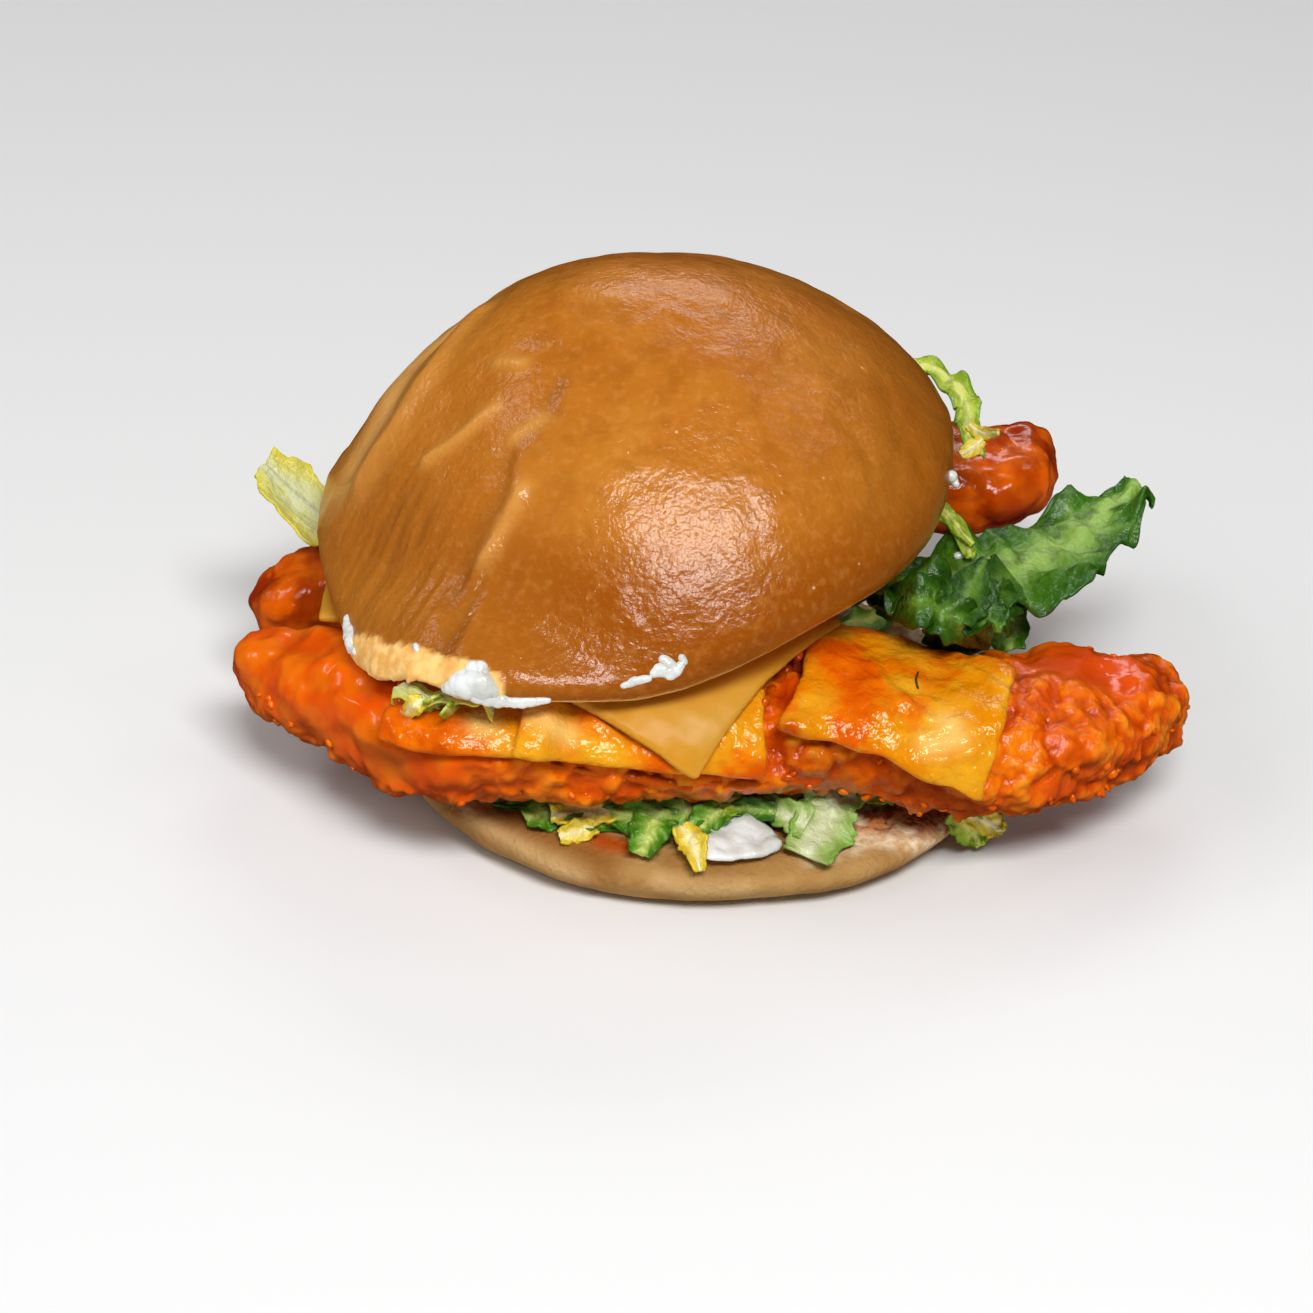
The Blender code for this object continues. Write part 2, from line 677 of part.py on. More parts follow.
def crown_local(row, longitude):
    """Point of the crown in its own upright frame: flat cut face, rounded rim, then the dome."""
    if row < CUT_ROWS:
        radius = CROWN_RADIUS * 0.93 * row / CUT_ROWS
        return Vector((radius * math.cos(longitude), radius * math.sin(longitude), -CROWN_RIM_DROP))
    if row < CUT_ROWS + RIM_ROWS:
        turn = math.pi / 2 * (row - CUT_ROWS) / RIM_ROWS
        radius = CROWN_RADIUS * (0.93 + 0.07 * math.sin(turn))
        height = -CROWN_RIM_DROP * math.cos(turn)
        return Vector((radius * math.cos(longitude), radius * math.sin(longitude), height))
    latitude = math.pi / 2 * (row - CUT_ROWS - RIM_ROWS) / (CROWN_ROWS - 1 - CUT_ROWS - RIM_ROWS)
    radius = CROWN_RADIUS * max(0.0, math.cos(latitude)) ** CROWN_PROFILE
    height = CROWN_DOME * math.sin(latitude) ** CROWN_PROFILE
    return Vector((radius * math.cos(longitude), radius * math.sin(longitude), height))


def crown_relief(p, longitude):
    """The bun's unevenness: a hollow flank and a shoulder on the left, a dent at the left front."""
    degrees = math.degrees(longitude)
    height = p.z / CROWN_DOME
    flank = -0.8 * MM * bump(turned_apart(degrees, 168), 0, 26) * bump(height, 0.45, 0.35)
    dent = -1.5 * MM * bump(turned_apart(degrees, -142), 0, 15) * bump(height, 0.5, 0.3)
    shoulder = 1.2 * MM * bump(turned_apart(degrees, -165), 0, 12) * bump(height, 0.35, 0.3)
    lumps = 0.8 * MM * noise.noise(p / (22 * MM))
    return flank + dent + shoulder + lumps


def softened(rises):
    """Spreads each rise round the rim over its neighbours, never below what any of them needs."""
    count = len(rises)
    widest = [max(rises[(k + j) % count] for j in (-1, 0, 1)) for k in range(count)]
    return [sum(widest[(k + j) % count] for j in (-1, 0, 1)) / 3 for k in range(count)]


def make_crown(stack, collection):
    """The glazed upper bun, leaning to the left, its soft cut face pressed over the filling."""
    lean = Matrix.Rotation(CROWN_LEAN, 3, "Y") @ Matrix.Rotation(CROWN_PITCH, 3, "X")
    bm, places = lathe(CROWN_ROWS, CROWN_SIDES)
    above_cut = {}
    sector = {}
    for v, (row, longitude) in places.items():
        p = crown_local(row, longitude)
        if row > CUT_ROWS + RIM_ROWS and p.length > 0:
            outward = Vector((p.x, p.y, p.z * 1.4)).normalized()
            p += outward * crown_relief(p, longitude) * smooth_step(0, 8 * MM, p.z)
        above_cut[v] = p.z + CROWN_RIM_DROP
        outness = min(1.0, math.hypot(p.x, p.y) / (0.93 * CROWN_RADIUS))
        spread = lip(longitude) * outness * (1 - smooth_step(0, 24 * MM, above_cut[v]))
        p += spread * Vector((math.cos(longitude), math.sin(longitude), 0))
        p.z += gape(longitude) * outness**4 * (1 - smooth_step(0, 18 * MM, above_cut[v]))
        sector[v] = round(longitude / (2 * math.pi) * CROWN_SIDES) % CROWN_SIDES
        v.co = lean @ p + CROWN_CENTRE
        v.co.y -= slump(longitude) * outness**2 * (1 - smooth_step(0, 20 * MM, above_cut[v]))
    face_outwards(bm)
    rows = {v: row for v, (row, _) in places.items()}
    cut_face = {v: v.co.z for v in bm.verts if rows[v] <= CUT_ROWS}
    stack.settle(bm, lambda face: all(v in cut_face for v in face.verts))
    at_rim = [0.0] * CROWN_SIDES
    for v in bm.verts:
        if rows[v] == CUT_ROWS:
            at_rim[sector[v]] = v.co.z - cut_face[v]
    at_rim = softened(at_rim)
    for v, (row, longitude) in places.items():
        if row == CUT_ROWS - 1:
            v.co.z -= 0.35 * sag(longitude)
        if row == CUT_ROWS:
            v.co.z = cut_face[v] + at_rim[sector[v]] - sag(longitude)
        elif CUT_ROWS < row < CROWN_ROWS - 1:
            reach = CROWN_RIM_REACH[0] + CROWN_RIM_REACH[1] * at_rim[sector[v]]
            v.co.z += at_rim[sector[v]] * (1 - smooth_step(0, reach, above_cut[v]))
            v.co.z -= sag(longitude) * (1 - smooth_step(0, 17 * MM, above_cut[v]))
    stack.settle(bm, lambda face: max(rows[v] for v in face.verts) <= CUT_ROWS + RIM_ROWS)
    return new_object("bun_crown", bm, "bun_glaze", collection)


# The burger

def make_burger():
    for obj in list(bpy.data.objects):
        bpy.data.objects.remove(obj)
    burger = bpy.data.collections.new("chicken_burger")
    bpy.context.scene.collection.children.link(burger)
    stack = Stack()
    stack.lay(make_heel(burger))
    stack.lay(make_mayo_blob(stack, burger))
    stack.lay(make_bed(stack, burger))

    front = make_tender("chicken_front", FRONT_TENDER, 24, 47, 3.0, stack, burger)
    back = make_tender("chicken_back", BACK_TENDER, 17, 32, 8.0, stack, burger)
    stack.lay(front)
    stack.lay(back)

    def on_left_slice(x):
        return SLICE_STEP * smooth_step(-26.5, -29.8, x)

    stack.lay(make_bridge_slice("cheese_back", (-44, 9, 30.5), (54, 56), (9, 9), stack, burger))
    stack.lay(make_slice("cheese_left", CHEESE_LEFT, (8, 9), 0.4 * MM, lambda x: 0.0, stack, burger))
    stack.lay(make_slice("cheese_middle", CHEESE_MIDDLE, (11, 9), 0.4 * MM, on_left_slice, stack, burger))
    stack.lay(make_slice("cheese_right", CHEESE_RIGHT, (11, 10), 1.0 * MM, lambda x: 0.0, stack, burger))
    stack.lay(make_clean_slice(stack, burger))

    leaf_spine = ((20, -8, 40), (33, -10, 39), (45, -4, 38), (57, 6, 38), (68, 21, 39), (77, 32, 41))
    stack.lay(make_leaf("lettuce_leaf_right", leaf_spine, (6, 10.5, 13, 12, 8, 3.5), (15, 9), 2.2, 3.5, 2.0,
                        1.0, "romaine", stack, burger))
    inner_spine = ((24, -12, 42), (33, -16, 43), (41, -21, 43), (47, -27, 41))
    stack.lay(make_leaf("lettuce_leaf_inner", inner_spine, (6, 9, 8, 3), (9, 6), 2.2, 1.6, 5.0,
                        0.6, "romaine", stack, burger))
    left_spine = ((-60, 14, 31), (-67, 17, 31), (-74, 20, 31), (-81, 24, 34), (-86, 27, 38))
    stack.lay(make_leaf("lettuce_leaf_left", left_spine, (5, 10, 11, 9, 3), (9, 5), 1.5, 1.4, 1.0,
                        1.2, "pale_lettuce", stack, burger))
    back_spine = ((18, 60, 47), (30, 65, 48), (40, 62, 48), (45, 53, 46), (45, 43, 45), (47, 36, 44))
    stack.lay(make_leaf("lettuce_shred_back", back_spine, (3, 4, 4, 3.5, 4, 2), (12, 4), 1.0, 2.5, 4.0,
                        0.4, "pale_lettuce", stack, burger))
    small_spine = ((33, 22, 43), (38, 16, 42), (42, 8, 41), (44, 1, 40))
    stack.lay(make_leaf("lettuce_shred_right", small_spine, (2, 2.5, 2.5, 1.2), (7, 2), 0.5, 1.2, 6.0,
                        0.2, "pale_lettuce", stack, burger))
    bits_spine = ((-54.5, -48, 29), (-49.5, -51, 29), (-43.5, -52.5, 29), (-38, -53, 29))
    stack.lay(make_leaf("lettuce_bits_front", bits_spine, (1.5, 2.3, 2.2, 1.1), (8, 3), 0.5, 1.5, 3.0,
                        0.2, "pale_lettuce", stack, burger))
    stack.lay(make_mayo_layer(stack, burger))
    make_crown(stack, burger)
    for obj in burger.objects:
        obj.data.transform(Matrix.Translation(-HEEL_CENTRE))


make_burger()
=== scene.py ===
"""Looks of a chicken burger: glazed bun, sauced fried tenders, cheese, lettuce and mayonnaise."""

import math
import random

import bmesh
import bpy
import numpy
from mathutils import Matrix, Vector, noise
from mathutils.bvhtree import BVHTree


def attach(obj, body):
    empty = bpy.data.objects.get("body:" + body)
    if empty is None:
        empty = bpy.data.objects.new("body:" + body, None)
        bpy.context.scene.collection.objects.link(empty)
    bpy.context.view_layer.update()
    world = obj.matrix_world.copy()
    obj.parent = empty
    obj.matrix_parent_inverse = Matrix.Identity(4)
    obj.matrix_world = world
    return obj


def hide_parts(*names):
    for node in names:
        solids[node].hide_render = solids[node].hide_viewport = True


# The noise that sets out dollops, sauce runs and crumbs is the same in each run.
noise.seed_set(1)

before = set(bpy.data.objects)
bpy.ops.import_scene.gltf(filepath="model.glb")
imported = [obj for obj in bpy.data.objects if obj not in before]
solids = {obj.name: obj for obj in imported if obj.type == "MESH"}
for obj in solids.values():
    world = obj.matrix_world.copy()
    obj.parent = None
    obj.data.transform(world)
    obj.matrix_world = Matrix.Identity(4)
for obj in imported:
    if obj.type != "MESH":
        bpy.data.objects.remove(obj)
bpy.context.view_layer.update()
scene = bpy.context.scene
burger = bpy.data.collections.new("burger_looks")
scene.collection.children.link(burger)


# Viewpoint
# The burger is seen from the front, 30 degrees above the table, by a long lens a little over half a
# metre away. The camera is rolled by 3 degrees, and the picture is 1313 pixels square.

picture_side = 1313.0
focal_pixels = 3500.0
eye = Vector((-0.00769, -0.54955, 0.33090))
eye_right = Vector((0.9986354, 0.0257732, 0.0454201))
eye_up = Vector((-0.0522230, 0.4928481, 0.8685468))
eye_back = Vector((0.0, -0.8697336, 0.4935215))

camera = bpy.data.objects.new("camera", bpy.data.cameras.new("camera"))
camera.data.sensor_width = 36.0
camera.data.lens = focal_pixels / picture_side * camera.data.sensor_width
camera.matrix_world = Matrix((eye_right, eye_up, eye_back)).transposed().to_4x4()
camera.location = eye
scene.collection.objects.link(camera)
scene.camera = camera
scene.view_settings.view_transform = "Standard"


def sight_line(x, y):
    """Direction from the eye through a pixel of the picture."""
    middle = picture_side / 2
    across = eye_right * ((x - middle) / focal_pixels)
    down = eye_up * ((y - middle) / focal_pixels)
    return (across - down - eye_back).normalized()


# Bun heel
# The lower half of a soft white bun, baked in a pan and cut: a pale, dry crust with a tan bottom edge,
# and a cut face of open crumb that was toasted dark on the griddle.

def tone(red, green, blue):
    """A colour as seen on screen, 0 to 255, turned into a shader's linear colour."""
    parts = [channel / 255 for channel in (red, green, blue)]
    return (*(p / 12.92 if p <= 0.04045 else ((p + 0.055) / 1.055) ** 2.4 for p in parts), 1.0)


def made_real(piece):
    """Applies a piece's modifiers, drops its old materials and shades it smooth."""
    bpy.context.view_layer.update()
    mesh = bpy.data.meshes.new_from_object(piece.evaluated_get(bpy.context.evaluated_depsgraph_get()))
    piece.modifiers.clear()
    piece.data = mesh
    mesh.materials.clear()
    mesh.shade_smooth()
    return piece


def even_mesh(piece, grain, rounds):
    """Gives a closed piece an even skin of small squares, grain mm wide, and softens it."""
    remesh = piece.modifiers.new("grain", "REMESH")
    remesh.mode = "VOXEL"
    remesh.voxel_size = grain / 1000
    soften = piece.modifiers.new("soften", "SMOOTH")
    soften.factor = 0.5
    soften.iterations = rounds
    return made_real(piece)


def fine_copy(name, node, grain, rounds):
    """A new object with an even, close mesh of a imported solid."""
    piece = bpy.data.objects.new(name, solids[node].data.copy())
    burger.objects.link(piece)
    return even_mesh(piece, grain, rounds)


def points_of(piece):
    """The points of a piece in mm, and their normals, as two arrays."""
    points = numpy.array([v.co for v in piece.data.vertices]) * 1000
    normals = numpy.array([v.normal for v in piece.data.vertices])
    return points, normals


def pushed_out(piece, amounts):
    """Moves each point of a piece along its normal, by its amount in mm."""
    points, normals = points_of(piece)
    points = (points + normals * numpy.asarray(amounts)[:, None]) / 1000
    piece.data.vertices.foreach_set("co", points.ravel())
    piece.data.update()


def painted(piece, name, values):
    """Stores a mask, one value a point, for the materials to read; a second coat replaces the first."""
    masks = piece.data.attributes
    mask = masks.get(name) or masks.new(name, "FLOAT", "POINT")
    mask.data.foreach_set("value", numpy.clip(values, 0, 1).astype(numpy.float32))


def evenly_painted(piece, values):
    """Stores masks that have one value all over the piece."""
    for name, value in values.items():
        painted(piece, name, numpy.full(len(piece.data.vertices), value))


def lumps(points, size, octaves=3, seed=0.0):
    """Uneven fractal relief at each point, about -1 to 1, with lumps of a size in mm."""
    shift = Vector((seed, 2 * seed, -seed))
    return numpy.array([noise.fractal(Vector(p) / size + shift, 1.0, 2.0, octaves) for p in points])


def step(low, high, values):
    """0 below low, 1 above high, and a smooth rise between."""
    t = numpy.clip((values - low) / (high - low), 0, 1)
    return t * t * (3 - 2 * t)


def tree_of(piece):
    """A search tree of a piece's faces, in metres."""
    mesh = piece.data
    return BVHTree.FromPolygons([v.co for v in mesh.vertices], [tuple(p.vertices) for p in mesh.polygons])


def seen_on(tree, x, y):
    """The place on a surface, in mm, that shows at a pixel of the picture.

    Where the pixel just misses the surface, the place is level with the nearest part of it.
    """
    direction = sight_line(x, y)
    hit = tree.ray_cast(eye, direction)[0]
    if hit is None:
        nearest = tree.find_nearest(eye + direction * (-eye.dot(direction)))[0]
        hit = eye + direction * (nearest - eye).dot(direction)
    return hit * 1000


def distance_to_path(points, path):
    """Distance in mm of each point from a bent line through the places of a path."""
    nearest = numpy.full(len(points), 1e9)
    for a, b in zip(path, path[1:] or path):
        a, b = numpy.array(a), numpy.array(b)
        length = max(1e-9, float((b - a) @ (b - a)))
        t = numpy.clip(((points - a) @ (b - a)) / length, 0, 1)
        nearest = numpy.minimum(nearest, numpy.linalg.norm(points - (a + t[:, None] * (b - a)), axis=1))
    return nearest


def stroke(points, tree, pixels, width):
    """A soft brush stroke, 1 on the line that the pixels of the picture mark on a surface."""
    path = [seen_on(tree, x, y) for x, y in pixels]
    return numpy.exp(-((distance_to_path(points, path) / width) ** 2))


def group_inputs(group, sockets):
    """Adds named number inputs, with their starting values, to a shader node group."""
    for name, value in sockets.items():
        group.interface.new_socket(name, in_out="INPUT", socket_type="NodeSocketFloat").default_value = value
    return group.nodes.new("NodeGroupInput").outputs


def group_outputs(group, *names):
    """Adds named number outputs to a shader node group."""
    for name in names:
        group.interface.new_socket(name, in_out="OUTPUT", socket_type="NodeSocketFloat")
    return group.nodes.new("NodeGroupOutput").inputs


def make_patches():
    """Node group: soft uneven patches. Size is in mm, and the mask rises from Low to High."""
    group = bpy.data.node_groups.new("patches", "ShaderNodeTree")
    given = group_inputs(group, {"Size": 8.0, "Detail": 3.0, "Low": 0.4, "High": 0.6, "Upright": 1.0})
    wanted = group_outputs(group, "Mask", "Relief")
    place = group.nodes.new("ShaderNodeTexCoord")
    squeeze = group.nodes.new("ShaderNodeCombineXYZ")
    squeeze.inputs["X"].default_value = 1.0
    squeeze.inputs["Y"].default_value = 1.0
    stretched = group.nodes.new("ShaderNodeVectorMath")
    stretched.operation = "MULTIPLY"
    per_metre = group.nodes.new("ShaderNodeMath")
    per_metre.operation = "DIVIDE"
    per_metre.inputs[0].default_value = 1000.0
    texture = group.nodes.new("ShaderNodeTexNoise")
    rise = group.nodes.new("ShaderNodeMapRange")
    rise.interpolation_type = "SMOOTHSTEP"
    link = group.links.new
    link(given["Upright"], squeeze.inputs["Z"])
    link(place.outputs["Object"], stretched.inputs[0])
    link(squeeze.outputs[0], stretched.inputs[1])
    link(given["Size"], per_metre.inputs[1])
    link(stretched.outputs[0], texture.inputs["Vector"])
    link(per_metre.outputs[0], texture.inputs["Scale"])
    link(given["Detail"], texture.inputs["Detail"])
    link(texture.outputs[0], rise.inputs["Value"])
    link(given["Low"], rise.inputs["From Min"])
    link(given["High"], rise.inputs["From Max"])
    link(rise.outputs[0], wanted["Mask"])
    link(texture.outputs[0], wanted["Relief"])
    return group


def make_specks():
    """Node group: round specks. Spacing is in mm, Radius is a share of it, and Share says how many."""
    group = bpy.data.node_groups.new("specks", "ShaderNodeTree")
    given = group_inputs(group, {"Spacing": 4.0, "Radius": 0.2, "Share": 0.5})
    wanted = group_outputs(group, "Mask")
    place = group.nodes.new("ShaderNodeTexCoord")
    per_metre = group.nodes.new("ShaderNodeMath")
    per_metre.operation = "DIVIDE"
    per_metre.inputs[0].default_value = 1000.0
    cells = group.nodes.new("ShaderNodeTexVoronoi")
    dot = group.nodes.new("ShaderNodeMapRange")
    dot.interpolation_type = "SMOOTHSTEP"
    dot.inputs["To Min"].default_value = 1.0
    dot.inputs["To Max"].default_value = 0.0
    chosen = group.nodes.new("ShaderNodeMath")
    chosen.operation = "LESS_THAN"
    both = group.nodes.new("ShaderNodeMath")
    both.operation = "MULTIPLY"
    link = group.links.new
    link(place.outputs["Object"], cells.inputs["Vector"])
    link(given["Spacing"], per_metre.inputs[1])
    link(per_metre.outputs[0], cells.inputs["Scale"])
    link(cells.outputs["Distance"], dot.inputs["Value"])
    dot.inputs["From Min"].default_value = 0.0
    link(given["Radius"], dot.inputs["From Max"])
    link(cells.outputs["Color"], chosen.inputs[0])
    link(given["Share"], chosen.inputs[1])
    link(dot.outputs[0], both.inputs[0])
    link(chosen.outputs[0], both.inputs[1])
    link(both.outputs[0], wanted["Mask"])
    return group


patches = make_patches()
specks = make_specks()


class Finish:
    """A material round one Principled shader, with short ways to add the nodes that feed it."""

    def __init__(self, name, sockets):
        self.material = bpy.data.materials.new(name)
        self.material.use_nodes = True
        self.tree = self.material.node_tree
        self.shader = self.tree.nodes["Principled BSDF"]
        self.feed(self.shader, sockets)
        self.relief = None

    def feed(self, node, sockets):
        """Links or sets a node's inputs."""
        for socket, value in sockets.items():
            if isinstance(value, bpy.types.NodeSocket):
                self.tree.links.new(value, node.inputs[socket])
            else:
                node.inputs[socket].default_value = value

    def patches(self, size, low, high, detail=3.0, upright=1.0, output="Mask"):
        """Soft uneven patches, size in mm."""
        node = self.tree.nodes.new("ShaderNodeGroup")
        node.node_tree = patches
        self.feed(node, {"Size": size, "Low": low, "High": high, "Detail": detail, "Upright": upright})
        return node.outputs[output]

    def specks(self, spacing, radius, share):
        """Round specks, spacing in mm."""
        node = self.tree.nodes.new("ShaderNodeGroup")
        node.node_tree = specks
        self.feed(node, {"Spacing": spacing, "Radius": radius, "Share": share})
        return node.outputs["Mask"]

    def mask(self, name):
        """A mask that is painted on the mesh."""
        node = self.tree.nodes.new("ShaderNodeAttribute")
        node.attribute_name = name
        return node.outputs["Fac"]

    def sums(self, operation, first, second):
        """Arithmetic on masks, kept between 0 and 1."""
        node = self.tree.nodes.new("ShaderNodeMath")
        node.operation = operation
        node.use_clamp = True
        self.feed(node, {0: first, 1: second})
        return node.outputs[0]

    def range(self, mask, low, high):
        """Turns a mask into numbers from low to high."""
        node = self.tree.nodes.new("ShaderNodeMapRange")
        self.feed(node, {"Value": mask, "To Min": low, "To Max": high})
        return node.outputs[0]

    def blend(self, mask, first, second):
        """The first colour where the mask is 0 and the second where it is 1."""
        node = self.tree.nodes.new("ShaderNodeMix")
        node.data_type = "RGBA"
        self.feed(node, {0: mask, 6: first, 7: second})
        return node.outputs[2]

    def tint(self, colour, mask, strength, stain):
        """Lays a second colour over the first where the mask is 1, as strong as told."""
        return self.blend(self.sums("MULTIPLY", mask, strength), colour, stain)

    def raise_by(self, height, depth):
        """Adds fine relief: depth is in mm."""
        node = self.tree.nodes.new("ShaderNodeBump")
        self.feed(node, {"Height": height, "Distance": depth / 1000})
        if self.relief:
            self.feed(node, {"Normal": self.relief})
        self.relief = node.outputs[0]
        self.feed(self.shader, {"Normal": self.relief, "Coat Normal": self.relief})

    def on(self, *pieces):
        """Gives the material to pieces."""
        for piece in pieces:
            piece.data.materials.append(self.material)


def stands_for(piece, slot, *nodes):
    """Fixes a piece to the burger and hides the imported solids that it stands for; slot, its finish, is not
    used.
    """
    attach(piece, "root")
    if nodes:
        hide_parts(*nodes)
    return piece


heel = fine_copy("heel_bread", "bun_heel", 0.95, 5)
heel_points, heel_normals = points_of(heel)
heel_top = step(7.0, 8.6, heel_points[:, 2]) * step(0.45, 0.8, heel_normals[:, 2])
heel_top *= numpy.maximum(step(17, 24, heel_points[:, 0]), step(-40, -34, heel_points[:, 1]))
heel_open = lumps(heel_points, 2.2, 3, 4.0)
heel_tree = tree_of(heel)
creases = (((470, 830), (500, 846), (540, 852)), ((596, 846), (604, 862), (606, 882)),
           ((700, 862), (760, 872), (830, 862)))
heel_relief = 0.35 * lumps(heel_points, 13.0, 3, 1.0) + heel_top * (0.45 * heel_open - 0.3)
for path in creases:
    heel_relief -= 0.45 * stroke(heel_points, heel_tree, path, 1.6)
pushed_out(heel, heel_relief)
toast_marks = ((842, 812), (870, 818), (900, 818), (940, 812))
toasted = stroke(heel_points, heel_tree, toast_marks, 4.2) * step(-0.3, 0.1, heel_open)
torn_edge = ((868, 838), (905, 841), (935, 835), (953, 822))
painted(heel, "crumb", heel_top + 1.3 * stroke(heel_points, heel_tree, torn_edge, 2.2))
# Where the cut face is toasted; it is also painted lighter there, as painted light.
painted(heel, "toast_and_light", 1.6 * toasted)
tan_marks = ((450, 795), (490, 815), (530, 830), (575, 845), (602, 862))
painted(heel, "tan", stroke(heel_points, heel_tree, tan_marks, 4.5))
# Painted highlight along the heel's lower edge, at the left and at the front.
highlight_left = ((470, 815), (500, 836), (530, 853), (558, 868), (580, 878))
highlight_front = ((660, 882), (700, 891), (745, 889))
pale = stroke(heel_points, heel_tree, highlight_left, 1.8) + stroke(heel_points, heel_tree, highlight_front, 2.2)
painted(heel, "pale", 0.75 * pale)
painted(heel, "foot", 1 - step(0.3, 3.5, heel_points[:, 2]))
spill_marks = ((588, 832), (606, 842), (628, 846))
painted(heel, "spill", 1.4 * stroke(heel_points, heel_tree, spill_marks, 2.6) - 0.3)

heel_finish = Finish("heel_bread", {"Roughness": 0.7, "Specular IOR Level": 0.15})
heel_crust = heel_finish.blend(heel_finish.patches(16.0, 0.35, 0.7), tone(186, 144, 86), tone(160, 114, 56))
heel_crust = heel_finish.blend(heel_finish.mask("tan"), heel_crust, tone(146, 96, 42))
heel_crust = heel_finish.blend(heel_finish.mask("foot"), heel_crust, tone(190, 152, 96))
# Painted highlight along the lower edge.
heel_crust = heel_finish.blend(heel_finish.mask("pale"), heel_crust, tone(206, 168, 112))
grains = heel_finish.patches(2.5, 0.35, 0.65)
open_crumb = heel_finish.blend(grains, tone(214, 172, 120), tone(250, 230, 194))
heel_colour = heel_finish.blend(heel_finish.mask("crumb"), heel_crust, open_crumb)
# Toasted crumb, painted lighter than its own brown as painted light where the tender's shadow falls.
toast_and_light = heel_finish.blend(heel_finish.patches(1.8, 0.4, 0.6), tone(214, 136, 80), tone(146, 66, 32))
heel_colour = heel_finish.blend(heel_finish.mask("toast_and_light"), heel_colour, toast_and_light)
heel_colour = heel_finish.blend(heel_finish.mask("spill"), heel_colour, tone(176, 74, 10))
heel_finish.feed(heel_finish.shader, {"Base Color": heel_colour})
heel_finish.raise_by(heel_finish.patches(1.2, 0.2, 0.8, 5.0), 0.25)
heel_finish.on(heel)
stands_for(heel, "bun_crumb", "bun_heel")


# Mayonnaise on the heel
# A spoonful of thick white mayonnaise that has been squeezed out under the lettuce at the front.

def beads(name, places, grain, rounds):
    """A smooth blob grown from overlapping balls, each a place and a radius in mm."""
    bm = bmesh.new()
    for place, radius in places:
        at = Matrix.Translation(Vector(place) / 1000)
        bmesh.ops.create_icosphere(bm, subdivisions=2, radius=radius / 1000, matrix=at)
    mesh = bpy.data.meshes.new(name)
    bm.to_mesh(mesh)
    bm.free()
    piece = bpy.data.objects.new(name, mesh)
    burger.objects.link(piece)
    return even_mesh(piece, grain, rounds)


mayo_finish = Finish("mayonnaise", {"Roughness": 0.25, "Subsurface Weight": 0.3, "Subsurface Scale": 0.002,
                                    "Subsurface Radius": (1.0, 0.9, 0.7), "Coat Weight": 0.5})
mayo_colour = mayo_finish.blend(mayo_finish.patches(5.0, 0.3, 0.7), tone(234, 237, 234), tone(206, 208, 200))
mayo_finish.feed(mayo_finish.shader, {"Base Color": mayo_colour})
mayo_finish.raise_by(mayo_finish.patches(2.5, 0.2, 0.8, 2.0), 0.2)

mayo_heel = fine_copy("mayo_squeezed_out", "mayo_heel", 0.4, 8)
mayo_points, _ = points_of(mayo_heel)
mayo_rim = step(7.5, 10.5, numpy.linalg.norm((mayo_points - mayo_points.mean(0)) * (0.8, 1, 1), axis=1))
pushed_out(mayo_heel, 0.9 * lumps(mayo_points, 5.0, 2, 2.0) - 0.7 * mayo_rim + 0.1)
mayo_finish.on(mayo_heel)
stands_for(mayo_heel, "mayonnaise", "mayo_heel")


def curve_at(places, s):
    """A point of a smooth curve through places, s from 0 to 1."""
    last = len(places) - 1
    i = min(int(s * last), last - 1)
    a, b, c, d = (Vector(places[min(max(k, 0), last)]) for k in (i - 1, i, i + 1, i + 2))
    t = s * last - i
    return 0.5 * (2 * b + (c - a) * t + (2 * a - 5 * b + 4 * c - d) * t**2 + (3 * b - a - 3 * c + d) * t**3)


def bead_path(tree, pixels, radii, lift=0.0, drop=0.0, seed=0.0):
    """Balls along the pixels of a path on a surface: their places and radii in mm, a little uneven.

    Lift is how far they stand off towards the eye, in radii, and drop how far they hang down, in mm.
    """
    places = []
    steps = 6 * (len(pixels) - 1)
    for k in range(steps + 1):
        x, y, radius = curve_at([(*pixel, radius) for pixel, radius in zip(pixels, radii)], k / steps)
        wander = noise.noise_vector(Vector((0.9 * k, seed, 0))) * 0.35 * radius
        place = seen_on(tree, x, y) - sight_line(x, y) * lift * radius - Vector((0, 0, drop)) + wander
        places.append((place, radius * (1 + 0.3 * wander.x)))
    return places


smears = ((((700, 832), (712, 822), (730, 817)), (1.2, 2.0, 1.6)),
          (((762, 832), (770, 842), (772, 851)), (1.6, 1.3, 0.8)))
for number, (pixels, radii) in enumerate(smears):
    smear = beads(f"mayo_smear_{number}", bead_path(heel_tree, pixels, radii), 0.25, 8)
    mayo_finish.on(smear)
    stands_for(smear, "mayonnaise")


# Lettuce under the chicken
# Hand-cut romaine and iceberg, pressed flat on the heel: a packed core with loose shreds that hang out
# over the bun's edge, green at their margins and yellow to white towards their ribs.

